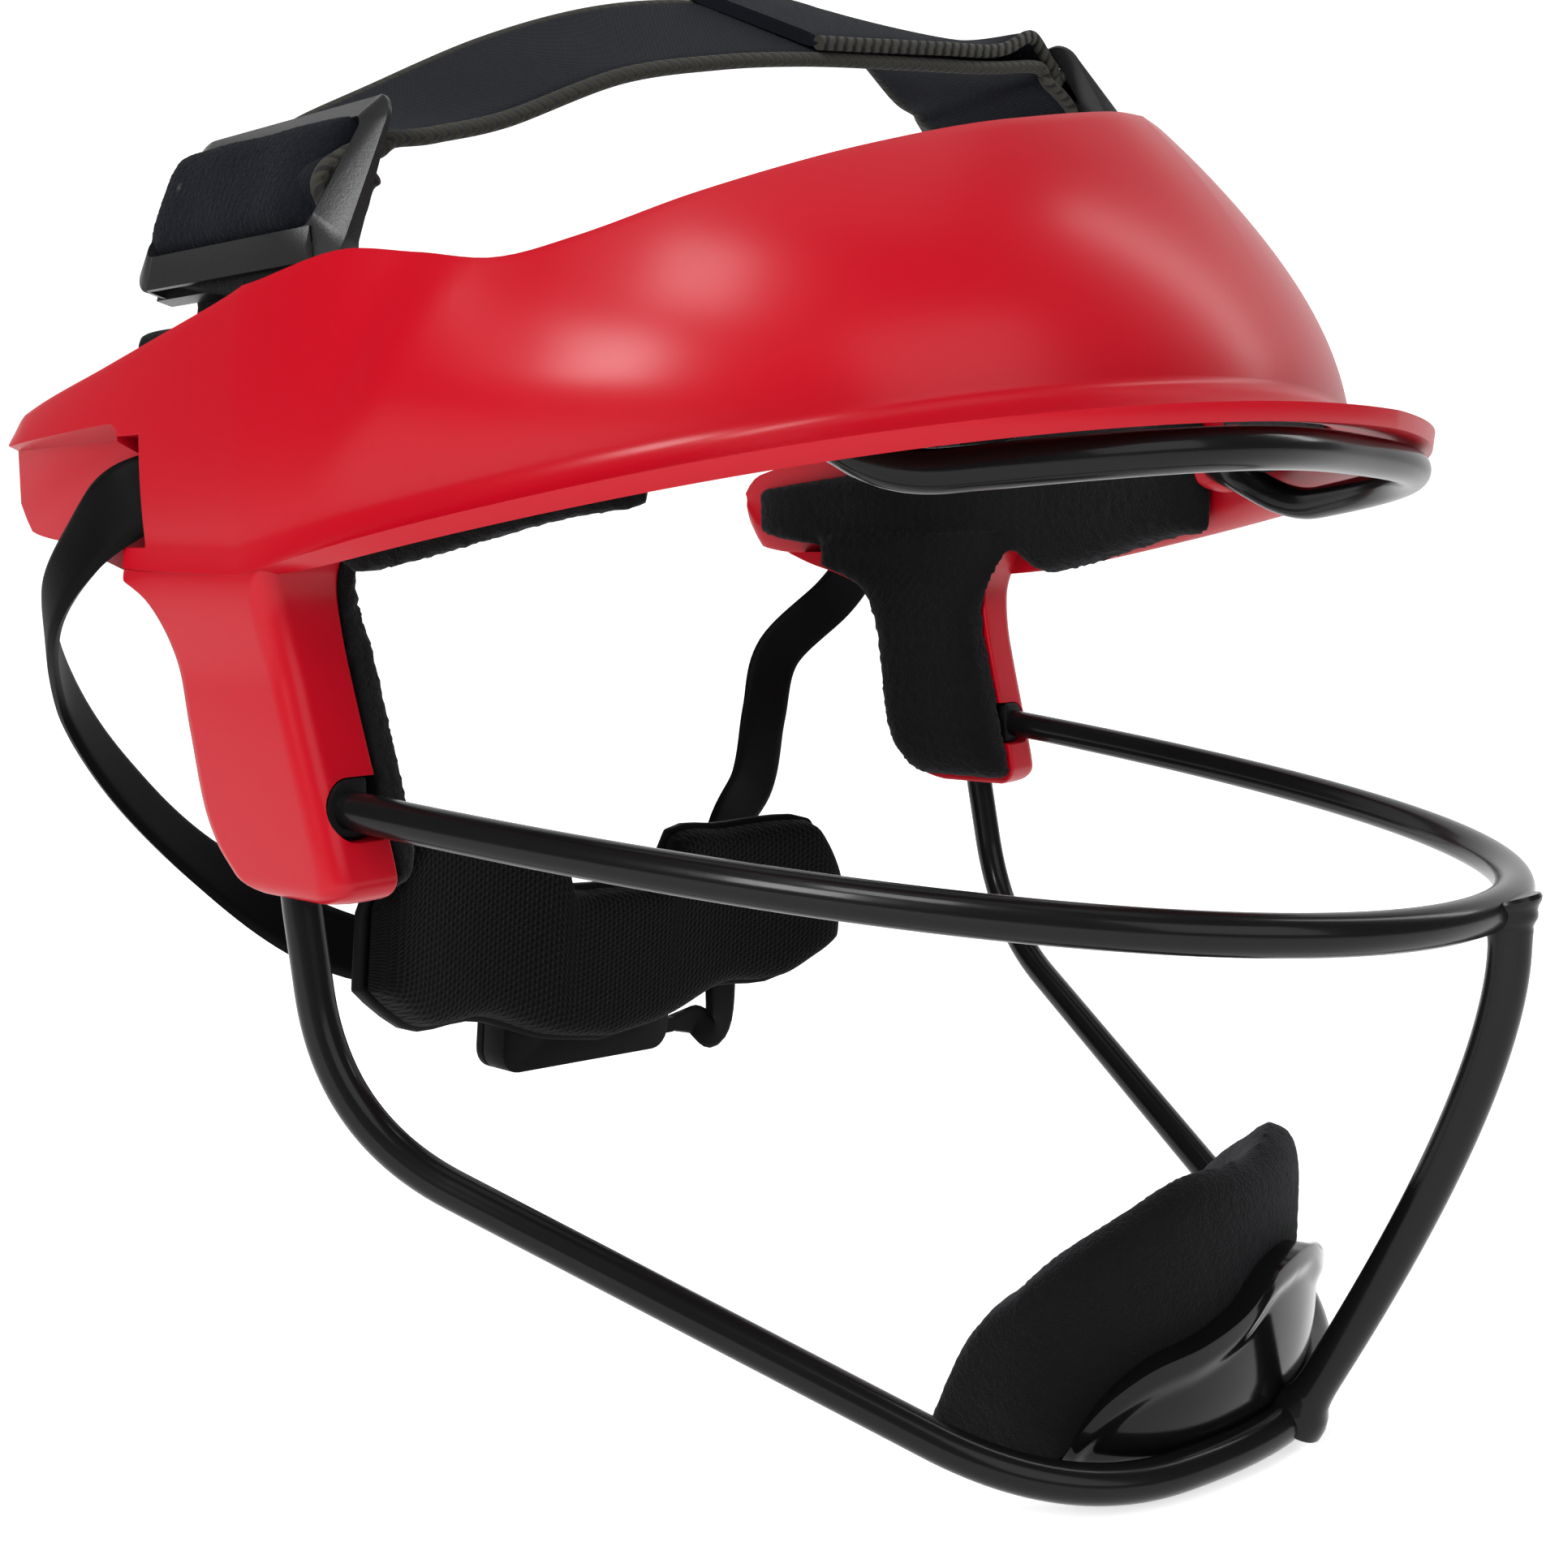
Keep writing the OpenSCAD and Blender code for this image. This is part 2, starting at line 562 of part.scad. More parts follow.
module chin_pad() {
    color(felt_black) loft([for (i = [0:chin_steps])
        let (a = -chin_sweep + 2 * chin_sweep * i / chin_steps, end = abs(a) / chin_sweep)
        concat(chin_wall(a, 0), reversed(chin_wall(a, chin_pad_t * (1 - 0.5 * end ^ 6))))]);
}

// The two loops of the top strap: each stands in its own frame of three unit directions
loop_corner_r = 3;
slot_half_share = 0.81;
bar_low_h = 2.2;
tab_slot_h = 6.2;
cross_bar_h = 2.4;
top_bar_h = 2.6;
lip_t = 1.3;
lip_gap = 2.6;
lip_low = 0.4;
// [centre of the lower bar, direction along the bar, direction up the loop]
loop_right_at = [[-76.1, 22, 65.5], [0, 1, 0], [0.2, -0.2, 0.96]];
loop_left_at = [[84, -3.6, 104.6], [0.25, 0.96, -0.05], [-0.648, 0.209, 0.732]];
function frame_wide(f) = unit(f[1]);
function frame_out(f) =
    let (n = unit(cross(f[1], f[2]))) n * sign(n.x * f[0].x);
function frame_up(f) =
    let (w = frame_wide(f), n = frame_out(f), u = unit(cross(n, w))) u * sign(u * f[2]);
function in_frame(f, q) = f[0] + q.x * frame_wide(f) + q.y * frame_out(f) + q.z * frame_up(f);
module set_in_frame(f) {
    w = frame_wide(f);
    u = frame_up(f);
    n = frame_out(f);
    multmatrix([[w.x, n.x, u.x, f[0].x], [w.y, n.y, u.y, f[0].y], [w.z, n.z, u.z, f[0].z], [0, 0, 0, 1]])
        children();
}
module plate_xz(t) { rotate([90, 0, 0]) linear_extrude(t, center = true) children(); }
slot_w_half = loop_w / 2 * slot_half_share;
module strap_loop(f) {
    tab_top = bar_low_h + tab_slot_h;
    strap_low = tab_top + cross_bar_h;
    color([0.1, 0.1, 0.11]) set_in_frame(f) {
        plate_xz(loop_t) difference() {
            translate([0, loop_h / 2]) offset(r = loop_corner_r, $fn = coarse)
                square([loop_w - 2 * loop_corner_r, loop_h - 2 * loop_corner_r], center = true);
            translate([-slot_w_half, bar_low_h]) square([2 * slot_w_half, tab_slot_h]);
            translate([-slot_w_half, strap_low])
                square([2 * slot_w_half, loop_h - top_bar_h - strap_low]);
        }
        translate([0, loop_t / 2 + lip_gap + lip_t / 2, 0]) plate_xz(lip_t)
            translate([-loop_w / 2, lip_low]) square([loop_w, tab_top - lip_low]);
        for (s = [-1, 1])
            translate([s * (loop_w / 2 + slot_w_half) / 2, (loop_t + lip_gap) / 2, (tab_top + lip_low) / 2])
                cube([loop_w / 2 - slot_w_half, lip_gap + 2 * tiny, tab_top - lip_low], center = true);
    }
}
module loop_right() { strap_loop(loop_right_at); }
module loop_left() { strap_loop(loop_left_at); }

// The strap wraps each loop's cross bar and lies back on itself
bar_mid_z = bar_low_h + tab_slot_h + cross_bar_h / 2;
lay = strap_t / 2 + gap;
face = loop_t / 2 + lay;
turn_z = bar_mid_z - cross_bar_h / 2 - lay - gap;
turn_r = 2;
turn_rise = 0.8;
turn_dip = 0.2;
// [shift along the bar, out, up] places on a loop: the run in, the turn round the cross bar, the way out
function bar_turn() =
    [[0, -face, bar_mid_z], [0, -turn_r, turn_z + turn_rise], [0, 0, turn_z - turn_dip],
     [0, turn_r, turn_z + turn_rise], [0, face, bar_mid_z]];
right_in = [[-2.8, -20, 29.6], [-1.2, -12, 25], [-0.3, -7.6, 21.2], [0, -6.3, 17.4], [0, -3.4, 13.5]];
right_out = [[0, 2.8, 12.4], [0, 0.6, 15.2], [-0.1, -3.2, 18.8], [-0.6, -4.7, 23], [-1.8, -8.5, 27.6]];
left_in = [[-2.2, -7.5, 23.5], [-1.4, -5.3, 18.5], [-0.5, -2.9, 13]];
left_out = [[-0.2, 2.8, 12.4], [-0.6, 0.8, 15.4], [-1.1, -2.8, 18.8], [-1.8, -3.5, 22], [-3.2, -6.5, 28.6]];
right_in_deg = [13, 9, 5, 1, 0];
right_out_deg = [0, 0, 1, 3, 7];
// Places over the head and along the folded end on the left, and how far the strap leans at each
run = [[-50.2, 15.8, 93.1], [-31.5, 12, 102.3], [-13.5, 9.1, 108.9], [3.7, 6.8, 113.4], [20, 4.5, 116.1],
       [35.3, 2.4, 117.7], [49.4, 0.9, 118.2]];
run_deg = [12, 18, 23, 25.4, 25, 22, 15];
fold = [[50, 0.9, 123.9], [40, 1.4, 123.3], [30, 2.2, 121.8], [22, 3, 120.4]];
fold_deg = [15, 20, 23.5, 25];
function leaning(places, degs) =
    [for (i = [0:len(places) - 1]) [places[i], [0, cos(degs[i]), sin(degs[i])]]];
function on_loop(f, rows) = [for (q = rows) in_frame(f, q)];
function along_bar(f, rows) = [for (q = rows) [in_frame(f, q), frame_wide(f)]];
// A flat ribbon through stations, each [place, direction across it], with a width and a thickness
module ribbon(stations, w, t, per) {
    last = len(stations) - 1;
    places = [for (s = stations) s[0]];
    wides = [for (s = stations) s[1]];
    path = [for (i = [0:last * per]) route_at(places, i / per)];
    loft([for (i = [0:last * per])
        let (d = path_dir(path, i), wide = route_at(wides, i / per), thick = unit(cross(d, wide)))
        ribbon_loop(path[i], unit(cross(thick, d)), thick, w, t)]);
}
strap_per = 3;
module top_strap() {
    right = concat(leaning(on_loop(loop_right_at, right_in), right_in_deg),
                   along_bar(loop_right_at, bar_turn()),
                   leaning(on_loop(loop_right_at, right_out), right_out_deg));
    left = along_bar(loop_left_at, concat(left_in, bar_turn(), left_out));
    over = leaning(run, run_deg);
    back = leaning(fold, fold_deg);
    color([0.07, 0.07, 0.08]) ribbon(concat(right, over, left, back), strap_w, strap_t, strap_per);
}

// Fabric tabs from the moulding's inner wall up to the loops, folded round the lower bars
tab_low_z = 52.6;
tab_seat = 1.5;
tab_w = 33;
tab_reach = 2.5;
tab_lay_right = 6.6;
tab_lay_left = 4;
tab_stride = 7;
tab_right_y = 24;
tab_left_y = 15;
tab_left_y0 = 13;
tab_ease_share = 0.34;
tab_hook = [[0, -2.8, -2.5], [0, -2.6, 0.6], [0, -2.4, 2.2], [0, -1.3, 3.9], [0, 0.4, 4.3], [0, 1.9, 3.4],
            [0, 2.5, 1.2], [0, 2.6, -1.4]];
tab_per = 3;
function tab_x(y) = band_half_w - tail_inset * ((y - temple_y) / (band_back - temple_y)) ^ 2
    - band_t - strap_t / 2 - tab_seat * (1 + max(0, (y - temple_y) / (band_back - temple_y)));
// A tab lies on the wall for lay_z, y0 behind the sockets, and its rivet sits at y
module tab(side, f, lay_z, y0, y) {
    hook = along_bar(f, tab_hook);
    low = [side * tab_x(y + tab_w / 2), y0, tab_low_z];
    from = low + [0, 0, lay_z];
    to = hook[0][0];
    d = norm(to - from);
    count = floor(d / tab_stride);
    leave = from + [0, 0, d * tab_ease_share];
    meet = to - d * tab_ease_share * unit(hook[1][0] - to);
    rise = [for (i = [1:1:count])
        let (u = i / (count + 1), v = u * u * (3 - 2 * u))
        [bez3(from, leave, meet, to, u), (1 - v) * [0, 1, 0] + v * frame_wide(f)]];
    color([0.06, 0.06, 0.07]) difference() {
        ribbon(concat([[low, [0, 1, 0]], [from, [0, 1, 0]]], rise, hook), tab_w, strap_t, tab_per);
        rivet(side, tab_rivet_at(y), 2 * band_t + strap_t);
    }
}
module tab_right() { tab(RIGHT, loop_right_at, tab_lay_right, loop_right_at[0].y, tab_right_y); }
module tab_left() { tab(LEFT, loop_left_at, tab_lay_left, tab_left_y0, tab_left_y); }

// The side bands' way and their outward directions, drawn on the left
lay_in = 6.6;
band_path = [[band_half_w - lay_in, 17, 41.2], [band_half_w - lay_in, 22, 41.1],
             [band_half_w - lay_in, 27, 41], [band_half_w - 5.4, 30.4, 40.6], [band_half_w - 0.8, 34.4, 39.6], [band_half_w + 1.8, 41, 35],
             [band_half_w + 2.2, 50, 25], [band_half_w - 5.2, 60, 12], [76, 58.5, -1], [66, 53.5, -14],
             [50, 49, -27]];
band_out_shares = [[1, 0, 0], [1, 0, 0], [1, 0, 0], [1, -0.3, 0], [1, -0.5, 0], [1, 0.1, 0], [1, 0.4, 0],
                   [0.7, 0.7, -0.2], [0.45, 0.8, -0.4], [0.4, 0.85, -0.3], [0.2, 1, 0]];

// Rivets through the moulding: each has a shank flush with the outer wall and a head inside
rivet_r = 2;
rivet_head_r = 3;
rivet_head_h = 1.2;
tab_rivet_z = 56;
module rivet(side, at, grip) {
    out = at[2];
    color([0.15, 0.15, 0.16]) translate([side * out, at[0], at[1]]) rotate([0, -side * 90, 0]) {
        cylinder(r = rivet_r, h = grip + overrun, $fn = coarse);
        translate([0, 0, grip])
            cylinder(r1 = rivet_head_r, r2 = rivet_r, h = rivet_head_h, $fn = coarse);
    }
}
function wall_x(y) = band_half_w - tail_inset * (max(0, y - temple_y) / (band_back - temple_y)) ^ 2;
function tab_rivet_at(y) = [y, tab_rivet_z, wall_x(y) - rivet_flush];
function tab_grip(y) = wall_x(y) - rivet_flush - tab_x(y + tab_w / 2) + strap_t / 2 + gap / 2;
band_rivet_y = 24;
band_rivet_z = 41;
rivet_flush = 1;
band_rivet_at = [band_rivet_y, band_rivet_z, wall_x(band_rivet_y) - rivet_flush];
band_grip = band_rivet_at[2] - band_path[0].x + side_band_t / 2 + gap / 2;
module tab_rivet_right() { rivet(RIGHT, tab_rivet_at(tab_right_y), tab_grip(tab_right_y)); }
module tab_rivet_left() { rivet(LEFT, tab_rivet_at(tab_left_y), tab_grip(tab_left_y)); }
module band_rivet_right() { rivet(RIGHT, band_rivet_at, band_grip); }
module band_rivet_left() { rivet(LEFT, band_rivet_at, band_grip); }

// The cradle's own frame: its middle, rolled a little about the view from behind
cradle_mid = [4, cradle_y, cradle_z];
cradle_roll = 5.5;
flat_half_w = 22;
cradle_curl_share = 0.336;
cradle_steps = 30;
cradle_top_shares = [[0, 0.36], [0.2, 0.42], [0.26, 0.78], [0.5, 0.84], [0.8, 0.92], [0.88, 0.85], [1, 0.3]];
cradle_low_shares = [[0, -1], [0.25, -0.9], [0.5, -0.68], [0.75, -0.66], [0.9, -0.45], [1, -0.25]];
cradle_span = 21;
cradle_margin = 1;
function on_cradle(q) =
    cradle_mid + [q.x * cos(cradle_roll) + q.z * sin(cradle_roll), q.y,
                  -q.x * sin(cradle_roll) + q.z * cos(cradle_roll)];
module at_cradle() { translate(cradle_mid) rotate([0, cradle_roll, 0]) children(); }
function curl(x) = -cradle_curl_share * max(0, abs(x) - flat_half_w) ^ 2 / cradle_half_w;
function cradle_side(x) =
    2 * cradle_curl_share * max(0, abs(x) - flat_half_w) * sign(x) / cradle_half_w;
function cradle_at(x, z, y) =
    let (n = unit([cradle_side(x), 1, 0])) [x + n.x * y, curl(x) + n.y * y, z];
cradle_rows = 4;
function cradle_loop(x, y0, y1, grow) =
    let (u = abs(x) / cradle_half_w,
         low = cradle_span * smooth_at(cradle_low_shares, u) - grow,
         high = cradle_span * smooth_at(cradle_top_shares, u) + grow)
    concat([for (i = [0:cradle_rows]) cradle_at(x, low + (high - low) * i / cradle_rows, y0)],
           [for (i = [cradle_rows:-1:0]) cradle_at(x, low + (high - low) * i / cradle_rows, y1)]);
module cradle_sheet(y0, y1, grow) {
    loft([for (i = [0:cradle_steps])
        let (x = (cradle_half_w + grow) * (2 * i / cradle_steps - 1))
        cradle_loop(x, y0, y1, grow)]);
}
module cradle_plate() {
    color([0.06, 0.06, 0.065]) at_cradle() difference() {
        cradle_sheet(0, cradle_t, 0);
        dial_axis(-overrun, cradle_t + overrun, screw_head_r + gap);
    }
}
module cradle_pad() {
    color(felt_black) at_cradle() cradle_sheet(-cradle_pad_t, -pad_seat, -cradle_margin);
}

// Dial housing, drawn about the dial's axis, which runs along Y behind the plate
dial_z = -13;
house_w = 42;
house_h = 24;
house_corner_r = 4;
house_wall = 1.6;
house_t = 1.6;
gear_t = 3;
air = 0.4;
base_front = cradle_t + pad_seat;
gear_y = base_front + house_t + air;
cover_y = gear_y + gear_t + air;
knob_y = cover_y + house_t + air;
screw_head_r = 2.6;
screw_r = 1.2;
screw_sunk = 1.2;
module dial_axis(y0, y1, r) {
    translate([0, y0, dial_z]) rotate([-90, 0, 0]) cylinder(r = r, h = y1 - y0, $fn = coarse);
}
module dial_slab(y0, y1) {
    translate([0, y1, dial_z]) rotate([90, 0, 0]) linear_extrude(y1 - y0) children();
}
module house_outline(inset = 0) {
    offset(r = house_corner_r - inset, $fn = coarse)
        square([house_w - 2 * house_corner_r, house_h - 2 * house_corner_r], center = true);
}
rack_h = 4;
rack_gate = rack_h + 2 * air;
module dial_base() {
    color([0.07, 0.07, 0.075]) at_cradle() difference() {
        dial_slab(base_front, cover_y - pad_seat) house_outline();
        dial_slab(base_front + house_t, cover_y) house_outline(house_wall);
        dial_axis(0, base_front + house_t + overrun, shaft_r + air / 2);
        for (side = [RIGHT, LEFT]) rack_way(side);
    }
}
shaft_r = 2.6;
pitch_r = pinion_teeth * tooth_module / 2;
tooth_reach_share = 0.7;
tooth_root_share = 1.15;
tooth_reach = tooth_reach_share * tooth_module;
tooth_root = tooth_root_share * tooth_module;
module rack_way(side) {
    mid_z = dial_z - side * (pitch_r + rack_h / 2);
    translate([side > 0 ? 0 : -house_w, gear_y - air, mid_z - rack_gate / 2])
        cube([house_w, gear_t + 2 * air, rack_gate]);
}
module dial_cover() {
    color([0.09, 0.09, 0.095]) at_cradle() difference() {
        dial_slab(cover_y, cover_y + house_t) house_outline();
        dial_axis(cover_y - overrun, cover_y + house_t + overrun, shaft_r + air / 2);
        dial_slab(cover_y + house_t - spring_t, cover_y + house_t + overrun) spring_outline(gap / 2);
    }
}
// A flat click spring let into the cover, with a bump that rides in the knob's notches
spring_t = 0.5;
spring_w = 4;
spring_x = 10.4;
notch_count = 24;
knob_skirt = 1.8;
knob_hollow_h = 2;
notch_r = knob_r - knob_skirt;
bump_h = 1.2;
bump_r = 0.7;
bump_in = 1.2;
spring_ring = 1.8;
module spring_outline(grow) {
    square([2 * (spring_x + grow), spring_w + 2 * grow], center = true);
    circle(r = shaft_r + spring_ring + grow, $fn = coarse);
}
module detent_spring() {
    color([0.6, 0.6, 0.62]) at_cradle() {
        dial_slab(cover_y + house_t - spring_t, cover_y + house_t) difference() {
            spring_outline(0);
            circle(r = shaft_r + air, $fn = coarse);
        }
        translate([0, cover_y + house_t - tiny, dial_z]) rotate([-90, 0, 0])
            translate([spring_x - bump_in, 0, 0]) cylinder(r = bump_r, h = bump_h, $fn = coarse);
    }
}
module dial_knob() {
    color([0.05, 0.05, 0.055]) at_cradle() difference() {
        dial_slab(knob_y, knob_y + knob_h) knob_outline();
        dial_slab(knob_y - overrun, knob_y + knob_hollow_h) notch_outline();
        dial_axis(knob_y, knob_y + knob_h + overrun, screw_r);
        dial_axis(knob_y + knob_h - screw_sunk - tiny, knob_y + knob_h + overrun, screw_head_r + pad_seat);
        dial_slab(knob_y + knob_hollow_h - overrun, hex_y) hex_outline(hex_fit);
    }
}
grip_count = 20;
grip_r = 1.4;
grip_out = 0.6;
notch_half = 1;
notch_step = 0.4;
hex_r = 3.4;
hex_h = 1.6;
hex_fit = 0.05;
hex_y = knob_y + knob_hollow_h + hex_h;
few_sides = 6;
some_sides = 8;
module knob_outline() {
    difference() {
        circle(r = knob_r, $fn = fine);
        for (i = [0:grip_count - 1]) rotate(360 * i / grip_count) translate([knob_r + grip_out, 0])
            circle(r = grip_r, $fn = few_sides);
    }
}
module notch_outline() {
    circle(r = notch_r - 2 * notch_step, $fn = fine);
    for (i = [0:notch_count - 1])
        rotate(360 * i / notch_count) translate([notch_r - notch_half - notch_step, 0])
            circle(r = notch_half, $fn = some_sides);
}
module hex_outline(grow) { circle(r = hex_r + grow, $fn = few_sides); }

// Involute pinion and straight-sided racks of the same module
press_deg = 20;
base_r = pitch_r * cos(press_deg);
tooth_half = (PI * tooth_module - tooth_play) / 4;
flank_steps = 4;
function inv_deg(a) = tan(a) * 180 / PI - a;
function flank_deg(r) =
    tooth_half / pitch_r * 180 / PI + inv_deg(press_deg) - inv_deg(acos(min(1, base_r / r)));
function tooth_point(r, deg) = r * [sin(deg), cos(deg)];
module pinion_outline() {
    low = pitch_r - tooth_root;
    high = pitch_r + tooth_reach;
    side = [for (i = [0:flank_steps])
        let (r = i == 0 ? low : max(low, base_r) + (high - max(low, base_r)) * (i - 1) / (flank_steps - 1))
        [r, flank_deg(max(r, base_r))]];
    polygon([for (k = [0:pinion_teeth - 1])
        each concat([for (q = side) tooth_point(q[0], 360 * k / pinion_teeth - q[1])],
                    reversed([for (q = side) tooth_point(q[0], 360 * k / pinion_teeth + q[1])]))]);
}
module dial_pinion() {
    color([0.75, 0.75, 0.77]) at_cradle() difference() {
        union() {
            dial_slab(gear_y, gear_y + gear_t) pinion_outline();
            dial_axis(base_front + air, gear_y + tiny, shaft_r);
            dial_axis(gear_y, knob_y + knob_hollow_h + tiny, shaft_r);
            dial_slab(knob_y + knob_hollow_h, hex_y) hex_outline(0);
        }
        dial_axis(gear_y, knob_y + knob_h, screw_r);
    }
}
module dial_screw() {
    color([0.6, 0.6, 0.62]) at_cradle() difference() {
        union() {
            dial_axis(gear_y + air, knob_y + knob_h - screw_sunk, screw_r);
            dial_axis(knob_y + knob_h - screw_sunk, knob_y + knob_h - screw_sunk / 6, screw_head_r);
        }
        dial_slab(knob_y + knob_h - screw_sunk * 2 / 3, knob_y + knob_h) circle(r = screw_r, $fn = few_sides);
    }
}
rack_in = 10;
rack_tail = 4;
rack_out = house_w / 2 + rack_tail;
rack_tooth_count = 6;
// Drawn for the rack above the pinion: the body lies beyond the pitch line, the teeth reach in
module rack_outline() {
    pitch = PI * tooth_module;
    slope = tan(press_deg);
    tip = tooth_half - tooth_reach * slope;
    foot = tooth_half + tooth_root * slope;
    translate([-rack_out, pitch_r + tooth_root]) square([rack_out + rack_in, rack_h - tooth_root]);
    for (i = [-rack_tooth_count / 2 - 1:rack_tooth_count / 2 - 1])
        translate([(i + 0.5) * pitch, pitch_r])
            polygon([[-foot, tooth_root + tiny], [-tip, -tooth_reach], [tip, -tooth_reach],
                     [foot, tooth_root + tiny]]);
}
module rack(side) {
    color([0.08, 0.08, 0.085]) at_cradle() translate([0, gear_y + gear_t, dial_z])
        rotate([0, side > 0 ? 180 : 0, 0]) rotate([90, 0, 0]) linear_extrude(gear_t) rack_outline();
}
module rack_right() { rack(RIGHT); }
module rack_left() { rack(LEFT); }

// Side bands: from inside the moulding, out through the slot and round to the racks
band_per = 3;
far_run = 14;
near_run = 7;
far_bow = 1;
narrow_from_share = 0.8;
function to_side(side, q) = [side * q.x, q.y, q.z];
module side_band(side) {
    rack_mid_z = dial_z - side * (pitch_r + (rack_h + tooth_root) / 2);
    rack_mid_y = gear_y + gear_t / 2;
    ends = [[side * (rack_out + far_run), rack_mid_y - far_bow, rack_mid_z],
            [side * (rack_out + near_run), rack_mid_y, rack_mid_z],
            [side * (rack_out + tiny), rack_mid_y, rack_mid_z]];
    way = [for (i = [0:len(band_path) - 1])
        [to_side(side, band_path[i]), unit(to_side(side, band_out_shares[i]))]];
    stations = concat(way, [for (q = ends) [on_cradle(q), [0, 1, 0]]]);
    end_w = rack_h - tooth_root;
    last = len(stations) - 1;
    places = [for (s = stations) s[0]];
    outs = [for (s = stations) s[1]];
    path = [for (i = [0:last * band_per]) route_at(places, i / band_per)];
    color([0.05, 0.05, 0.055]) difference() {
        loft([for (i = [0:last * band_per])
            let (u = max(0, i / (last * band_per) - narrow_from_share) / (1 - narrow_from_share),
                 d = path_dir(path, i),
                 wide = unit(cross(route_at(outs, i / band_per), d)),
                 w = side_band_w + (end_w - side_band_w) * u)
            ribbon_loop(path[i], wide, unit(cross(d, wide)), w, side_band_t)]);
        rivet(side, band_rivet_at, 3 * band_t + side_band_t);
    }
}
module side_band_right() { side_band(RIGHT); }
module side_band_left() { side_band(LEFT); }

shell();
brow_pad();
side_pad_right();
side_pad_left();
brow_wire();
mid_bar();
jaw_wire();
front_post();
bar_grommet_right();
bar_grommet_left();
chin_cup();
chin_pad();
tab_right();
tab_left();
tab_rivet_right();
tab_rivet_left();
loop_right();
loop_left();
top_strap();
side_band_right();
side_band_left();
band_rivet_right();
band_rivet_left();
cradle_plate();
cradle_pad();
dial_base();
dial_cover();
dial_knob();
dial_pinion();
dial_screw();
detent_spring();
rack_right();
rack_left();
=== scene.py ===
"""Softball face guard: its looks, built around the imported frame.

Shape functions work in millimetres in the frame of the part: X across the head with the wearer's
right on -X, the face along -Y and Z up. make_mesh() turns them into metres.
"""

import math

import bmesh
import bpy
import numpy as np
from mathutils import Matrix, Vector


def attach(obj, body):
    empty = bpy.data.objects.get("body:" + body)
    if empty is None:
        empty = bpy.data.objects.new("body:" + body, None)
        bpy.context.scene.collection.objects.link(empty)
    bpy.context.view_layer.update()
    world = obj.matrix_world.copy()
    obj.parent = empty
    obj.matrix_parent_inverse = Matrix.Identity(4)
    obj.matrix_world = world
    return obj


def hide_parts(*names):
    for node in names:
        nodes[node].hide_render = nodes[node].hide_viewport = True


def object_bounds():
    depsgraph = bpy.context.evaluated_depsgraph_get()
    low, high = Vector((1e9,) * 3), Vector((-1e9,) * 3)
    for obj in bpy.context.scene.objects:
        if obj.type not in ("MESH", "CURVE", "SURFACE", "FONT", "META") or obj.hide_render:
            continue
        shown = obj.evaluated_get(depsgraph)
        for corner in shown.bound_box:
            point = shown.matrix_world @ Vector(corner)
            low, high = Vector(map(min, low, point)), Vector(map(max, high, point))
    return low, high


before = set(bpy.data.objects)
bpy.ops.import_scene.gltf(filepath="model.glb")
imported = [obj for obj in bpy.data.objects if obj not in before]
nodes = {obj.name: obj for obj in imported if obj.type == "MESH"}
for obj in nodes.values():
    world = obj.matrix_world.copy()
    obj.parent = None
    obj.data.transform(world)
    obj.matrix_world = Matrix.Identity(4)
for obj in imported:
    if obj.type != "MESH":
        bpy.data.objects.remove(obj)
cad_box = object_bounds()
MM = 0.001
RIGHT, LEFT = -1, 1
FOCAL_PX, PHOTO_PX, SENSOR = 2109.1, 1932, 36


# Camera, at the place and angle of the photograph
def make_camera():
    """A 39 mm lens in front of the wearer's right temple, a little above the bar sockets."""
    data = bpy.data.cameras.new("photo_camera")
    data.sensor_width = SENSOR
    data.lens = SENSOR * FOCAL_PX / PHOTO_PX
    data.clip_start, data.clip_end = 0.01, 20
    camera = bpy.data.objects.new("photo_camera", data)
    right = Vector((0.6214, -0.7835, 0))
    up = Vector((0.0957, 0.0759, 0.9925))
    back = right.cross(up)
    turn = Matrix((right, up, back)).transposed()
    camera.matrix_world = Matrix.Translation((-0.2126, -0.1729, 0.0291)) @ turn.to_4x4()
    bpy.context.scene.collection.objects.link(camera)
    bpy.context.scene.camera = camera


make_camera()


# Finishes
class Sock:
    """A socket of a shader tree. Arithmetic on it adds Math nodes."""

    def __init__(self, tree, out):
        self.tree, self.out = tree, out

    def math(self, operation, *values):
        return new_node(self.tree, "ShaderNodeMath", {"operation": operation}, dict(enumerate(values)))

    def fract(self):
        return self.math("FRACT", self)

    def least(self, other):
        return self.math("MINIMUM", self, other)

    def size(self):
        return self.math("ABSOLUTE", self)

    def wave(self, turns):
        """The sine of this value times so many whole turns."""
        return self.math("SINE", self * (turns * 2 * math.pi))

    def step(self, low, high):
        """0 below low, 1 above high, and smooth between."""
        values = {0: self, 1: low, 2: high, 3: 0.0, 4: 1.0}
        return new_node(self.tree, "ShaderNodeMapRange", {"interpolation_type": "SMOOTHSTEP"}, values)


SIGNS = {"add": "ADD", "sub": "SUBTRACT", "mul": "MULTIPLY", "truediv": "DIVIDE", "pow": "POWER"}
for sign, operation in SIGNS.items():
    setattr(Sock, f"__{sign}__", lambda a, b, kind=operation: a.math(kind, a, b))
    setattr(Sock, f"__r{sign}__", lambda a, b, kind=operation: a.math(kind, b, a))


def feed(tree, slot, value):
    if isinstance(value, Sock):
        tree.links.new(value.out, slot)
    elif isinstance(value, tuple) and len(value) == 3 and slot.type == "RGBA":
        slot.default_value = (*value, 1)
    else:
        slot.default_value = value


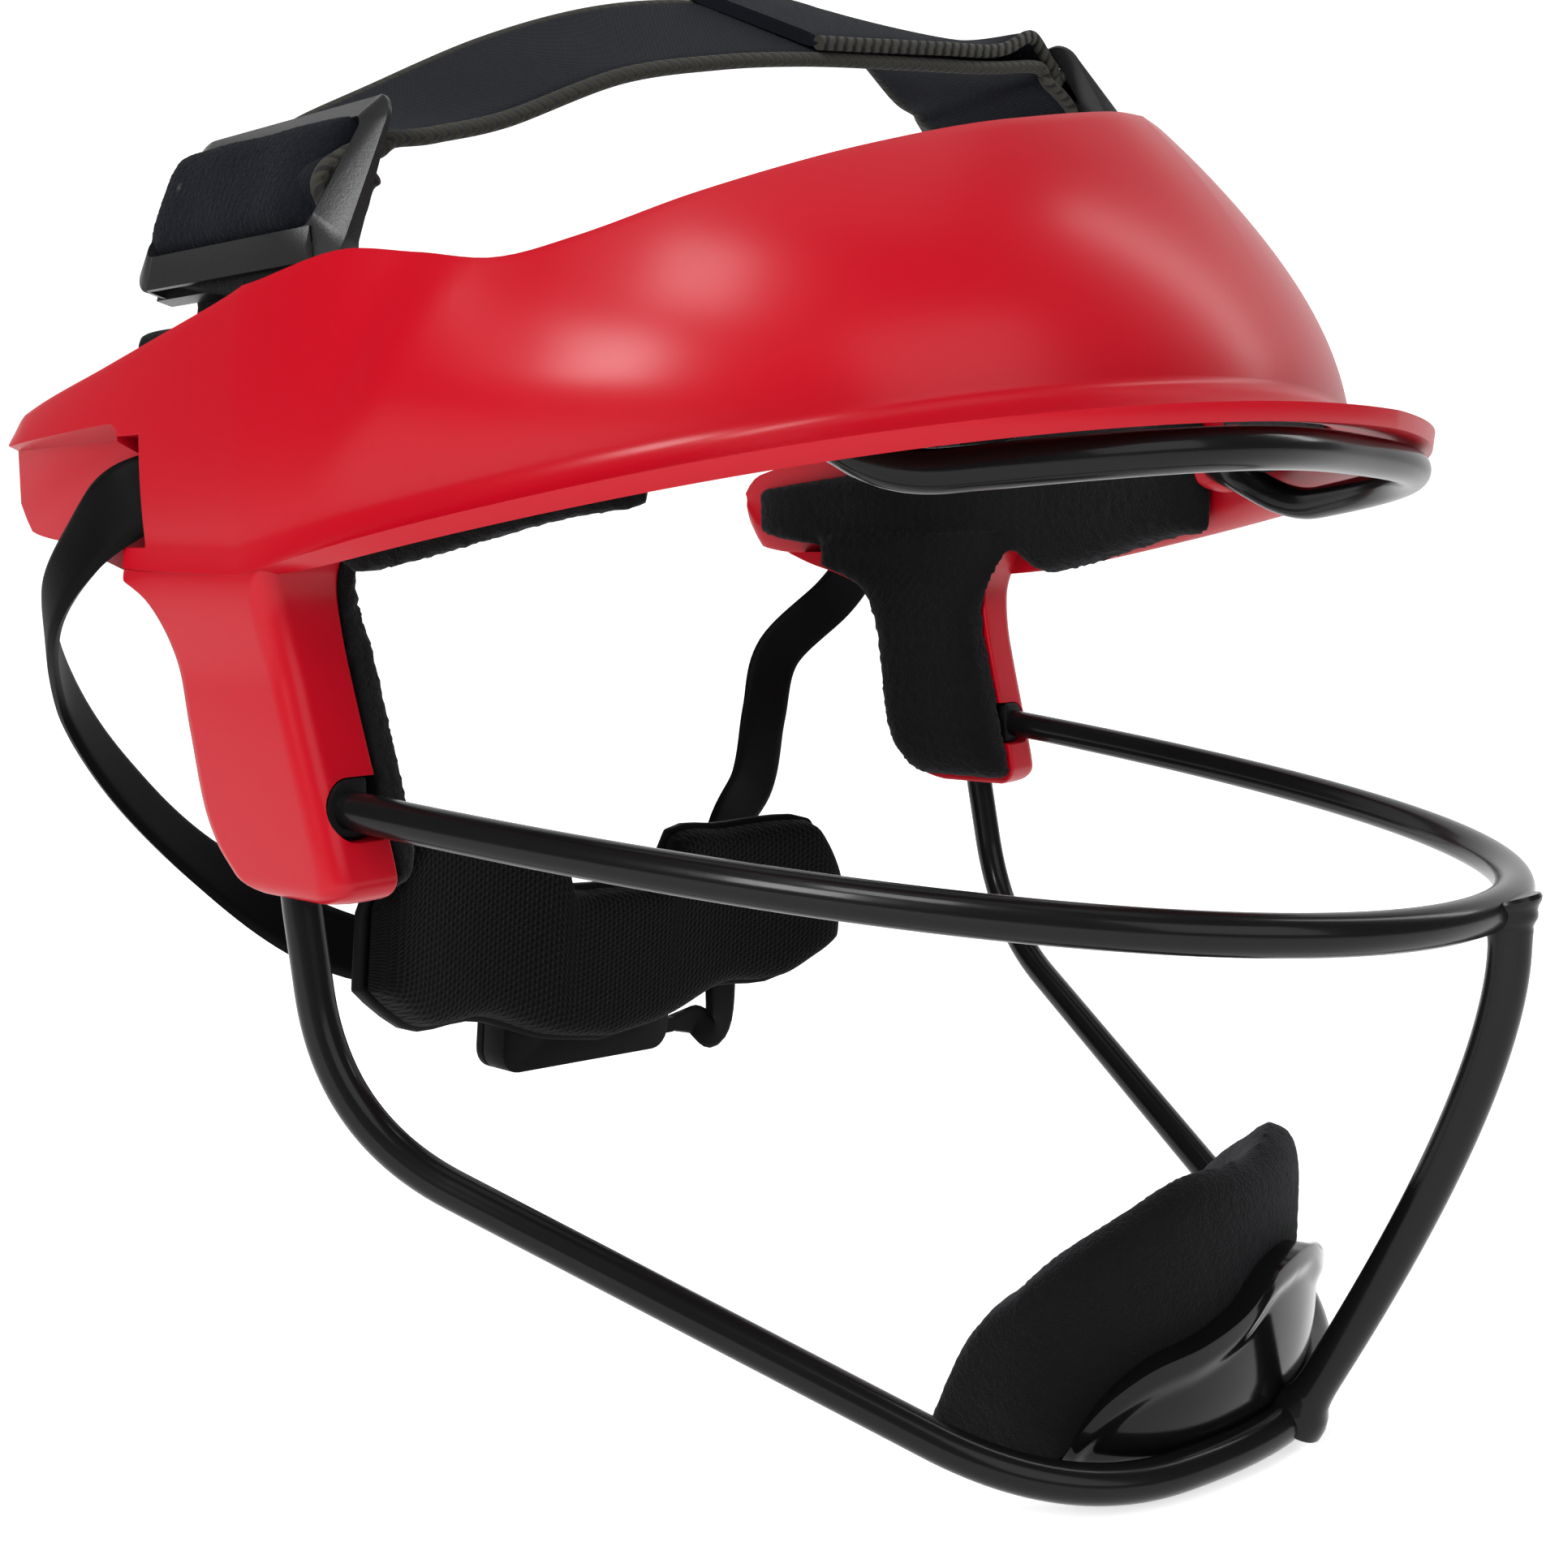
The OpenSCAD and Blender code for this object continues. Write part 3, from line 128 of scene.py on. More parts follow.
def new_node(tree, kind, settings, values, out=0):
    """Adds a node. values are for its inputs, by name or number, and out is the output that is given."""
    node = tree.nodes.new(kind)
    for key, value in settings.items():
        setattr(node, key, value)
    for key, value in values.items():
        feed(tree, node.inputs[key], value)
    return Sock(tree, node.outputs[out])


class Finish:
    """A material in the making. node() adds any node and surface() ends in the Principled shader."""

    def __init__(self, name):
        self.material = bpy.data.materials.new(name)
        self.material.use_nodes = True
        self.tree = self.material.node_tree
        self.tree.nodes.clear()

    def node(self, kind, settings, values, out=0):
        return new_node(self.tree, kind, settings, values, out)

    def uv(self):
        """The two numbers of the piece's own map, in millimetres along and across."""
        flat = self.node("ShaderNodeUVMap", {"uv_map": "map"}, {})
        return [self.node("ShaderNodeSeparateXYZ", {}, {0: flat}, out) for out in (0, 1)]

    def noise(self, scale, detail=2.0, rough=0.5):
        place = self.node("ShaderNodeTexCoord", {}, {}, "Object")
        values = {"Vector": place, "Scale": scale, "Detail": detail, "Roughness": rough}
        return self.node("ShaderNodeTexNoise", {}, values, "Fac")

    def blend(self, share, first, second):
        return self.node("ShaderNodeMix", {"data_type": "RGBA"}, {0: share, 6: first, 7: second}, 2)

    def bump(self, height, strength, depth_mm, under=None):
        values = {"Height": height, "Strength": strength, "Distance": depth_mm * MM}
        if under:
            values["Normal"] = under
        return self.node("ShaderNodeBump", {}, values)

    def surface(self, **values):
        shader = self.tree.nodes.new("ShaderNodeBsdfPrincipled")
        for key, value in values.items():
            feed(self.tree, shader.inputs[key.replace("_", " ")], value)
        end = self.tree.nodes.new("ShaderNodeOutputMaterial")
        self.tree.links.new(shader.outputs[0], end.inputs[0])
        return self.material


def red_moulding():
    f = Finish("red_moulding")
    flow = f.noise(14.0, 3.0)
    grain = f.noise(1900.0, 3.0, 0.6)
    return f.surface(
        Base_Color=f.blend(flow, (0.315, 0.0005, 0.0065), (0.365, 0.0009, 0.009)),
        Roughness=0.32 + flow * 0.08 + grain * 0.05,
        Specular_IOR_Level=0.07,
        Coat_Weight=0.28,
        Coat_Roughness=0.26,
        Normal=f.bump(grain, 0.09, 0.05),
    )


def gloss_black(name, tone, rough, peel):
    """Black paint or moulding whose gloss is broken by a slight orange peel."""
    f = Finish(name)
    swirl = f.noise(60.0, 3.0)
    skin = f.noise(peel, 2.0)
    return f.surface(
        Base_Color=f.blend(swirl, (tone, tone, tone * 1.05), (tone * 1.5, tone * 1.5, tone * 1.6)),
        Roughness=rough + swirl * 0.08,
        Specular_IOR_Level=0.1,
        Coat_Weight=0.13,
        Coat_Roughness=0.1,
        Normal=f.bump(skin, 0.12, 0.08),
    )


def satin_black(name, tone, rough, grain_scale, grain_depth, shine):
    """Black moulding with a spark-eroded grain."""
    f = Finish(name)
    patch = f.noise(45.0, 3.0)
    grain = f.noise(grain_scale, 3.0, 0.65)
    return f.surface(
        Base_Color=f.blend(patch, (tone, tone, tone * 1.08), (tone * 1.35, tone * 1.4, tone * 1.45)),
        Roughness=rough + grain * 0.12,
        Specular_IOR_Level=shine,
        Normal=f.bump(grain, 0.35, grain_depth),
    )


def plush_black(name, tone):
    """Napped fabric: a soft pile that catches light at grazing angles, brushed into faint patches, with
    painted shade in the pile's hollows and painted light on its tips.
    """
    f = Finish(name)
    nap = f.noise(130.0, 4.0, 0.6)
    pile = f.noise(1500.0, 3.0, 0.7)
    tuft = f.noise(3600.0, 2.0, 0.6)
    # The tone follows the random nap patches and, for 0.4 of it, the pile's height, which also sets the bump:
    # painted shade in the pile's hollows and painted light on its tips
    shaded_hollow, lit_tip = (tone * 0.5, tone * 0.5, tone * 0.55), (tone * 1.7, tone * 1.7, tone * 1.85)
    return f.surface(
        Base_Color=f.blend(nap * 0.6 + pile * 0.4, shaded_hollow, lit_tip),
        Roughness=0.92,
        Sheen_Weight=0.08,
        Sheen_Roughness=0.4,
        Sheen_Tint=(0.6, 0.62, 0.7),
        Specular_IOR_Level=0.12,
        Normal=f.bump(tuft, 0.6, 0.25, f.bump(pile, 0.7, 0.5)),
    )


def mesh_fabric():
    """Perforated lining: rows of small round holes set half a step apart, over a napped ground. The holes are
    only bumped in, and their darker colour is painted shade.
    """
    f = Finish("mesh_lining")
    along, across = f.uv()
    pitch, close = 2.3, 0.6
    u, v = along / pitch, across / (pitch * close)
    first, other = (
        ((u + shift).fract() - 0.5) ** 2.0 + ((v + shift).fract() - 0.5) ** 2.0 * close**2
        for shift in (0.0, 0.5)
    )
    cloth = first.least(other).step(0.012, 0.05)
    pile = f.noise(2200.0, 3.0, 0.6)
    return f.surface(
        # cloth is 0 in the holes, whose darker colour is painted shade in the perforations
        Base_Color=f.blend(cloth, (0.0008, 0.0008, 0.0008), (0.0025, 0.0025, 0.003)),
        Roughness=0.85,
        Specular_IOR_Level=0.06,
        Sheen_Weight=0.03,
        Sheen_Roughness=0.5,
        Normal=f.bump(pile, 0.4, 0.2, f.bump(cloth, 0.9, 0.5)),
    )


def strap_knit():
    """Elastic webbing: fine wales along the strap crossed by courses, and fluffy where the mask is 1, with
    painted shade in the fluff's hollows and between the pile's ribs.
    """
    f = Finish("strap_knit")
    along, across = f.uv()
    pile_mask = f.node("ShaderNodeAttribute", {"attribute_name": "pile"}, {}, "Fac")
    wale, course, rib = 0.9, 0.7, 1.25
    wales = across.wave(1 / wale)
    courses = along.wave(1 / course)
    knit = wales * courses * 0.5 + 0.5
    fluff = f.noise(1700.0, 3.0, 0.7)
    haze = f.noise(120.0, 3.0)
    ribs = (across + haze * 0.8).wave(1 / rib) * 0.5 + 0.5
    height = knit * (1 - pile_mask) * 0.5 + (ribs * 0.12 + fluff * 1.1) * pile_mask + fluff * 0.35
    # The ground's tone is half random haze and half the fluff's height, which also sets the bump: painted
    # shade in the fluff's hollows
    ground = f.blend(haze * 0.5 + fluff * 0.5, (0.0015, 0.0018, 0.003), (0.0065, 0.0075, 0.0115))
    return f.surface(
        # Between the pile's ribs the colour darkens towards near black: painted shade in the grooves
        Base_Color=f.blend(pile_mask * (1 - ribs) * 0.1, ground, (0.002, 0.002, 0.003)),
        Roughness=0.9,
        Sheen_Weight=0.05,
        Sheen_Roughness=0.4,
        Sheen_Tint=(0.6, 0.62, 0.7),
        Specular_IOR_Level=0.1,
        Normal=f.bump(height, 0.75, 0.4),
    )


def braided_edge():
    """Two-tone braid: slanting strands that meet in a chevron along the middle of the cord."""
    f = Finish("braided_edge")
    along, around = f.uv()
    slant = (around - 0.5).size()
    strand_length = 2.1
    strand = (along / strand_length + slant * 2.0).fract()
    olive = ((strand - 0.5).size()).step(0.12, 0.26)
    ridge = (strand.wave(1.0) * 0.5 + 0.5) ** 0.6
    fibre = f.noise(2600.0, 3.0, 0.6)
    return f.surface(
        Base_Color=f.blend(olive, (0.005, 0.005, 0.005), (0.026, 0.025, 0.019)),
        Roughness=0.8,
        Specular_IOR_Level=0.2,
        Sheen_Weight=0.05,
        Normal=f.bump(fibre, 0.3, 0.15, f.bump(ridge, 0.8, 0.5)),
    )


def worked_metal(name, tone, rough):
    """Plated steel with faint turning marks."""
    f = Finish(name)
    mark = f.noise(700.0, 4.0, 0.7)
    return f.surface(
        Base_Color=f.blend(mark, (tone * 0.8,) * 3, (tone, tone, tone * 1.02)),
        Metallic=1.0,
        Roughness=rough + mark * 0.15,
        Normal=f.bump(mark, 0.1, 0.05),
    )


RED = red_moulding()
WIRE = gloss_black("coated_wire", 0.0035, 0.2, 620.0)
CUP = gloss_black("gloss_cup", 0.003, 0.1, 260.0)
PLUSH = plush_black("plush_lining", 0.003)
SUEDE = plush_black("suede_lining", 0.0025)
LINING = mesh_fabric()
KNIT = strap_knit()
BRAID = braided_edge()
LOOP = satin_black("grained_loop", 0.009, 0.3, 2600.0, 0.1, 0.34)
MATTE = satin_black("matte_plastic", 0.0014, 0.5, 2200.0, 0.06, 0.06)
RUBBER = satin_black("soft_rubber", 0.0015, 0.5, 1400.0, 0.05, 0.12)
STEEL = worked_metal("plated_steel", 0.55, 0.28)
BLACK_STEEL = worked_metal("blackened_steel", 0.06, 0.38)


# Mesh making
def unit(v):
    return v / np.maximum(np.linalg.norm(v, axis=-1, keepdims=True), 1e-12)


def points(*parts):
    """Places from their coordinates, which can be numbers or arrays of any shapes that fit together."""
    return np.stack(np.broadcast_arrays(*parts), -1)


def along(rows, t):
    """A table of [place, value, ...] rows read at t, by cubics whose slope at a row joins its neighbours."""
    rows = np.asarray(rows, float)
    x, y = rows[:, 0], rows[:, 1:]
    low = np.maximum(np.arange(len(x)) - 1, 0)
    high = np.minimum(np.arange(len(x)) + 1, len(x) - 1)
    slope = (y[high] - y[low]) / (x[high] - x[low])[:, None]
    t = np.asarray(t, float)
    i = np.clip(np.searchsorted(x, t, "right") - 1, 0, len(x) - 2)
    h = (x[i + 1] - x[i])[..., None]
    u = (t - x[i])[..., None] / h
    out = (2 * u**3 - 3 * u**2 + 1) * y[i] + (u**3 - 2 * u**2 + u) * h * slope[i]
    out = out + (3 * u**2 - 2 * u**3) * y[i + 1] + (u**3 - u**2) * h * slope[i + 1]
    return out[..., 0] if out.shape[-1] == 1 else out


def route(stops, count):
    """count places on the smooth way through a row of stops."""
    return along(np.column_stack([np.arange(len(stops)), stops]), np.linspace(0, len(stops) - 1, count))


def bez(pulls, t):
    """Bezier curve of three or four places at t."""
    t = np.asarray(t, float)[:, None]
    rows = [np.asarray(p, float)[None, :] for p in pulls]
    while len(rows) > 1:
        rows = [a * (1 - t) + b * t for a, b in zip(rows, rows[1:])]
    return rows[0]


def smooth_share(x):
    x = np.clip(x, 0, 1)
    return x * x * (3 - 2 * x)


def length_along(path):
    step = np.linalg.norm(np.diff(path, axis=0), axis=1)
    return np.concatenate([[0], np.cumsum(step)])


def link(name, mesh, finish):
    obj = bpy.data.objects.new(name, mesh)
    bpy.context.scene.collection.objects.link(obj)
    if finish:
        mesh.materials.clear()
        mesh.materials.append(finish)
    return obj


def rework(mesh, change):
    """Changes a mesh by a function of its open form."""
    work = bmesh.new()
    work.from_mesh(mesh)
    change(work)
    work.to_mesh(mesh)
    work.free()


def make_mesh(name, grid, finish, ring=True, cap=True, crease=40, uv=None):
    """A piece on a grid of points [station, place on its loop]. ring joins a loop's two ends, cap closes
    the first and last loop, or joins them where it is "joined", and faces that meet below crease degrees
    are smooth. uv has a number for each station and one for each place."""
    n, m = grid.shape[:2]
    index = np.arange(n * m).reshape(n, m)
    if cap == "joined":
        index = np.vstack([index, index[:1]])
    here, after = (index, np.roll(index, -1, 1)) if ring else (index[:, :-1], index[:, 1:])
    faces = np.stack([here[:-1], after[:-1], after[1:], here[1:]], -1).reshape(-1, 4).tolist()
    if cap is True:
        faces += [index[0][::-1].tolist(), index[-1].tolist()]
    mesh = bpy.data.meshes.new(name)
    mesh.from_pydata((grid.reshape(-1, 3) * MM).tolist(), [], faces)
    if uv is not None:
        u, v = uv
        i, j = np.meshgrid(np.arange(n - 1), np.arange(here.shape[1]), indexing="ij")
        corner = np.stack([points(u[i + a], v[j + b]) for a, b in ((0, 0), (0, 1), (1, 1), (1, 0))], 2)
        flat = np.zeros((len(mesh.loops), 2))
        flat[: corner.size // 2] = corner.reshape(-1, 2)
        mesh.uv_layers.new(name="map").data.foreach_set("uv", flat.ravel())

    def face_outwards(work):
        if ring and work.calc_volume(signed=True) < 0:
            bmesh.ops.reverse_faces(work, faces=work.faces)

    rework(mesh, face_outwards)
    shade(mesh, crease)
    return link(name, mesh, finish)


def shade(mesh, crease):
    mesh.shade_smooth()
    mesh.set_sharp_from_angle(angle=math.radians(crease))


def settle(obj, crease=40):
    """Applies a piece's modifiers to its mesh."""
    mesh = bpy.data.meshes.new_from_object(obj.evaluated_get(bpy.context.evaluated_depsgraph_get()))
    obj.modifiers.clear()
    obj.data = mesh
    shade(mesh, crease)


def modify(obj, kind, **settings):
    modifier = obj.modifiers.new(kind.lower(), kind)
    for key, value in settings.items():
        setattr(modifier, key, value)


def join(obj, others, operation):
    """Adds or cuts other solids, which are then removed."""
    for other in others:
        modify(obj, "BOOLEAN", operation=operation, object=other, solver="MANIFOLD")
    settle(obj)
    for other in others:
        bpy.data.objects.remove(other)


BEVEL_FROM = math.radians(35)


def soften(obj, width, parts=3, crease=40):
    """Rounds every edge that turns by more than BEVEL_FROM."""
    modify(obj, "BEVEL", width=width * MM, segments=parts, limit_method="ANGLE", angle_limit=BEVEL_FROM)
    modify(obj, "WEIGHTED_NORMAL", keep_sharp=True, weight=80)
    settle(obj, crease)


def tube(name, path, radius, aside, finish, sides=36):
    """A round bar: circles of the given radius, one number or one for each station, across a path."""
    ahead = unit(np.gradient(path, axis=0))
    side = unit(np.cross(ahead, np.asarray(aside, float)))
    return bar_of(name, path, radius, side, np.cross(side, ahead), finish, sides)


def bar_of(name, path, radius, side, up, finish, sides):
    """A bar whose circles, or ellipses, start at their side direction and turn towards up."""
    angle = np.linspace(0, 2 * np.pi, sides, endpoint=False)[None, :, None]
    radius = np.broadcast_to(np.asarray(radius, float), len(path))[:, None, None]
    ring = np.cos(angle) * side[:, None] + np.sin(angle) * up[:, None]
    uv = (length_along(path), np.linspace(0, 1, sides + 1))
    return make_mesh(name, path[:, None] + radius * ring, finish, uv=uv)


def both(half):
    """A half that ends on the middle plane, and its mirror image."""
    return np.concatenate([half, half[:-1][::-1] * (-1, 1, 1)])


def around(front, back):
    """Closed loops that run along one sheet of points and return along another."""
    return np.concatenate([front, back[:, ::-1]], 1)


def stand_for(obj, body, *replaced, slot=None):
    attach(obj, body)
    if replaced:
        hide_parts(*replaced)


def dressed(node, body, width, slot):
    """A node's own shape with its edges rounded: its loose triangles are merged into whole flat faces."""
    mesh = nodes[node].data.copy()
    mesh.name = node + "_piece"

    def merge(work):
        bmesh.ops.remove_doubles(work, verts=work.verts, dist=2e-6)
        bmesh.ops.dissolve_limit(work, angle_limit=math.radians(1), verts=work.verts, edges=work.edges)

    rework(mesh, merge)
    obj = link(node + "_piece", mesh, MATTE)
    soften(obj, width, 2)
    stand_for(obj, body, node, slot=slot)


# The head band: t is -1 at a tail's end, 0 at the temple and 1 at the brow
HALF_W, FRONT, BACK, TEMPLE = 88.2, 88.5, 68.0, 7.7
EDGE, EDGE_RISE, RIM_SIDE, RIM_FRONT, RIM_INSET = 28.7, 20.0, 63.3, 88.5, 22.5
SWELL, BRIM, BRIM_LIP, BRIM_T, BAND_T = 3.6, 12.6, 3.9, 2.2, 3.0
TAIL_PULL, TAIL_SWELL, TAIL_LIFT = 2.6, 1.2, 11
WALL_ROWS, BRIM_ROWS = 26, 9
TAIL_LOW = [[-1, 0.9], [-0.95, 0.5], [-0.6, 0.12], [-0.45, 0], [0, 0]]
RIM = [[-1, -0.58], [-0.93, -0.475], [-0.52, -0.28], [-0.24, -0.14], [0, 0], [0.07, 0.1], [0.12, 0.06],
       [0.17, 0.01], [0.22, 0.09], [0.3, 0.28], [0.4, 0.47], [0.5, 0.615], [0.6, 0.73], [0.7, 0.82],
       [0.8, 0.9], [0.9, 0.965], [1, 1]]
INSET = [[-1, 0.05], [0, 0.05], [0.1, 0.09], [0.2, 0.235], [0.3, 0.43], [0.4, 0.61], [0.5, 0.75],
         [0.6, 0.85], [0.7, 0.925], [0.8, 0.97], [1, 1]]
REACH = [[0.1, 0.175], [0.2, 0.25], [0.3, 0.365], [0.4, 0.51], [0.5, 0.66], [0.6, 0.79], [0.7, 0.89],
         [0.8, 0.95], [1, 1]]
BRIM_REACH = [[-1, 0.03], [-0.5, 0.02], [-0.1, 0.015], [0, 0.02], [0.06, 0.11]] + REACH
EDGE_REACH = [[-1, 0.04], [-0.3, 0.1], [0, 0.15]] + REACH
SWELLS = [[-1, 0.15], [0, 0.3], [0.3, 0.6], [0.6, 1], [1, 1]]


def plan(t):
    """Where the band's outer wall meets its brow line, seen from above."""
    tail = points(-(HALF_W - TAIL_PULL * t * t), TEMPLE - t * (BACK - TEMPLE), 0)
    reach = TEMPLE + FRONT
    corners = [(-HALF_W, TEMPLE, 0), (-HALF_W * 0.975, TEMPLE - reach * 0.87, 0),
               (-HALF_W * 0.317, -FRONT, 0), (0, -FRONT, 0)]
    return np.where((t < 0)[:, None], tail, bez(corners, np.clip(t, 0, 1)))


def plan_out(t):
    """The level direction out of the wall."""
    d = unit(plan(np.minimum(t + 0.01, 1)) - plan(t - 0.01))
    return points(d[:, 1], -d[:, 0], 0)


def edge_height(t):
    """The height of the brow line, which is the wall's lower edge."""
    tail = EDGE + TAIL_SWELL * np.minimum(-t * 2, 1) + TAIL_LIFT * along(TAIL_LOW, np.minimum(t, 0))
    run = TEMPLE - plan(t)[:, 1] + along(EDGE_REACH, t) * BRIM
    return np.where(t < 0, tail, EDGE + EDGE_RISE * run / (TEMPLE + FRONT + BRIM))


def wall_t(t):
    """The wall's thickness, which grows along the tail."""
    return BAND_T + np.where(t < 0, TAIL_SWELL * np.minimum(1, -2 * t), 0)


def outer_chain(t, wall_rows, brim_rows):
    """[out, up] from the rim down the swelling wall and out along the brim."""
    low, top = edge_height(t), RIM_SIDE + (RIM_FRONT - RIM_SIDE) * along(RIM, t)
    root = low + BRIM_LIP
    inset, swell, out = RIM_INSET * along(INSET, t), SWELL * along(SWELLS, t), BRIM * along(BRIM_REACH, t)
    v = 1 - np.linspace(0, 1, wall_rows)[None, :]
    out_of_wall = -inset[:, None] * v + 4 * swell[:, None] * v * (1 - v)
    wall = points(out_of_wall, root[:, None] + (top - root)[:, None] * v)
    u = np.linspace(0, 1, brim_rows + 1)[None, 1:, None]
    a, b, c = (p[:, None] for p in (points(0, root), points(0, low + BRIM_LIP / 4), points(out, low)))
    brim = (1 - u) ** 2 * a + 2 * (1 - u) * u * b + u**2 * c
    return np.concatenate([wall, brim], 1)


def inward(chain):
    """Unit directions across a chain of [out, up] points, towards the head."""
    first, last = chain[:, 1:2] - chain[:, :1], chain[:, -1:] - chain[:, -2:-1]
    d = unit(np.concatenate([first, chain[:, 2:] - chain[:, :-2], last], 1))
    return points(d[..., 1], -d[..., 0])


def placed(t, chain):
    """The places of a chain of [out, up] points at each t."""
    return plan(t)[:, None] + chain[..., :1] * plan_out(t)[:, None] + points(0, 0, chain[..., 1])


def inner_chain(t, depth, wall_rows, brim_rows):
    """The wall's other side at a depth, thinning to the brim's thickness along the brim."""
    chain = outer_chain(t, wall_rows, brim_rows)
    last = np.clip((np.arange(chain.shape[1]) - wall_rows + 1) / brim_rows, 0, 1)[None, :]
    thick = depth[:, None] + (np.minimum(BRIM_T, depth)[:, None] - depth[:, None]) * last
    return chain + thick[..., None] * inward(chain)


def shoulder(grid, t):
    """The front band stands proud of the flat side panel, along a line down and forward from the rim."""
    z, y = grid[..., 2], grid[..., 1]
    line = -8 - (z - 40) * 0.55
    rise = 1.5 * smooth_share((line - y + 5) / 10) * smooth_share((z - 36) / 16)
    rise = rise * smooth_share((0.62 - t[:, None]) / 0.35)
    return grid + rise[..., None] * plan_out(t)[:, None]


def band_solid():
    t = np.concatenate([np.linspace(-1, 0, 45)[:-1], np.linspace(0, 1, 120)])
    outer = shoulder(placed(t, outer_chain(t, WALL_ROWS, BRIM_ROWS)), t)
    inner = placed(t, inner_chain(t, wall_t(t), WALL_ROWS, BRIM_ROWS))
    return make_mesh("head_band", both(around(outer, inner)), RED)


# The legs: the front and back edge in shares of the width, by the share of the height
LEG_OUT, LEG_THICK, LEG_W, LEG_LOW, LEG_TOE, LEG_TOP, TAPER = 87.4, 10.1, 25.0, -11.8, -4.0, 1.12, 0.05
LEG_H, LEG_IN = EDGE - LEG_LOW, LEG_OUT - LEG_THICK
LEG_FRONT = [[0, 0.06], [0.03, 0.02], [0.08, 0.0], [0.3, 0.09], [0.6, 0.22], [0.85, 0.31], [1.0, 0.31],
             [1.12, 0.2]]
LEG_BACK = [[0, 0.7], [0.03, 0.84], [0.07, 0.92], [0.15, 1.04], [0.27, 1.13], [0.51, 1.2], [0.76, 1.28],
            [0.92, 1.46], [1.0, 1.72], [1.06, 2.05], [1.12, 2.3]]


def leg_edges(f):
    """The height, and the leg's front and back edge there, at a share f of its height."""
    front, back = (LEG_TOE + along(table, np.minimum(f, LEG_TOP)) * LEG_W for table in (LEG_FRONT, LEG_BACK))
    return LEG_LOW + f * LEG_H, front, back


def rounded_loop(x0, x1, y0, y1, z, r_out, r_in, steps=7):
    """Level loops of a bar from x0 inside to x1 outside, with a corner radius for either side."""
    a = np.linspace(0, np.pi / 2, steps)
    corners = (x1, y0, -1, 1, r_out), (x1, y1, -1, -1, r_out), (x0, y1, 1, -1, r_in), (x0, y0, 1, 1, r_in)
    rows = []
    for k, (cx, cy, sx, sy, r) in enumerate(corners):
        s, c = (np.cos(a), np.sin(a)) if k % 2 else (np.sin(a), np.cos(a))
        px, py = cx[:, None] + sx * r[:, None] * (1 - s), cy[:, None] + sy * r[:, None] * (1 - c)
        rows.append(points(px, py, z[:, None]))
    return np.concatenate(rows, 1)


def leg_solid(side):
    """A bar with level rounded sections: its outer face follows the slant below and meets the wall above."""
    f = np.concatenate([np.linspace(0, 0.08, 9)[:-1], np.linspace(0.08, LEG_TOP, 60)])
    z, front, back = leg_edges(f)
    slant = TAPER * (z - EDGE)
    foot = 2.2 * (1 - np.sqrt(1 - np.clip(1 - f / 0.06, 0, 1) ** 2))
    x_out = LEG_OUT + slant + 1.05 * smooth_share((z - 15) / 13) - foot - 2.4 * smooth_share((z - EDGE) / 5.5)
    x_in = LEG_IN + slant + foot * 0.3
    front_r = 3.4 * (1 - 0.5 * smooth_share((z - 24) / 9))
    grid = rounded_loop(x_in, x_out, front + foot * 0.5, back - foot * 0.5, z, front_r, 0.5 + 0 * z)
    # Towards the top the outer face takes the bend of the wall above it
    wall = plan(np.linspace(-1, 0.4, 200))
    bend = np.interp(grid[..., 1], wall[::-1, 1], -wall[::-1, 0]) - HALF_W
    outwards = (grid[..., 0] - x_in[:, None]) / (x_out - x_in)[:, None]
    grid[..., 0] += bend * outwards * smooth_share((z - 8) / 20)[:, None]
    return make_mesh("leg", grid * (side, 1, 1), RED)


def box_solid(low, high):
    """A plain cutting box."""
    (x0, y0, z0), (x1, y1, z1) = low, high
    grid = np.array([[(x0, y0, z), (x1, y0, z), (x1, y1, z), (x0, y1, z)] for z in (z0, z1)])
    return make_mesh("cutter", grid, None)


# The tail's pocket and slot, the middle bar's socket at a share of the leg's height, its grommet, and the
# boss of the brow wire: distances out of the wall and radii
RECESS_FRONT, RECESS_TOP, RECESS_DEPTH, RECESS_R, LEDGE = 35.3, 47.8, 1.7, 2.5, 9.0
SLOT_W, SLOT_LOW, SLOT_HIGH = 5.5, 32.4, 46.8
SOCKET_F, LEG_LEAN = 0.29, 0.41
SOCKET_Y = LEG_TOE + SOCKET_F * LEG_LEAN * LEG_W
SOCKET_DEPTH, SOCKET_H, GROMMET_DEPTH, GROMMET_H = 4.6, 4.0, 4.4, 3.85
BROW_T, BOSS = 0.3, [[1.2, 4.6], [0, 4.6], [-1.5, 4.4], [-3.6, 3.9], [-4.6, 3.4], [-5.0, 2.6]]


def tail_cutters(side):
    """The shallow pocket of the tail, with its sloping upper edge, and the slot of the side band."""
    x = HALF_W - TAIL_PULL - RECESS_DEPTH
    a = np.linspace(0, np.pi / 2, 8)
    turn = points(RECESS_FRONT + RECESS_R - RECESS_R * np.sin(a),
                  RECESS_TOP - RECESS_R + RECESS_R * np.cos(a))
    corners = np.concatenate([[[RECESS_FRONT, 0], [BACK + 6, 0], [BACK + 6, RECESS_TOP - 0.4]], turn])
    ledge = (corners[:, 1] > 10) * LEDGE
    pocket = np.stack([points(side * at, corners[:, 0], corners[:, 1] + ledge * k - 0.9)
                       for k, at in enumerate((x, x + 20))])
    x0, x1 = sorted((side * 70, side * 95))
    slot = box_solid((x0, RECESS_FRONT - SLOT_W, SLOT_LOW), (x1, RECESS_FRONT, SLOT_HIGH))
    return [make_mesh("cutter", pocket, None), slot]


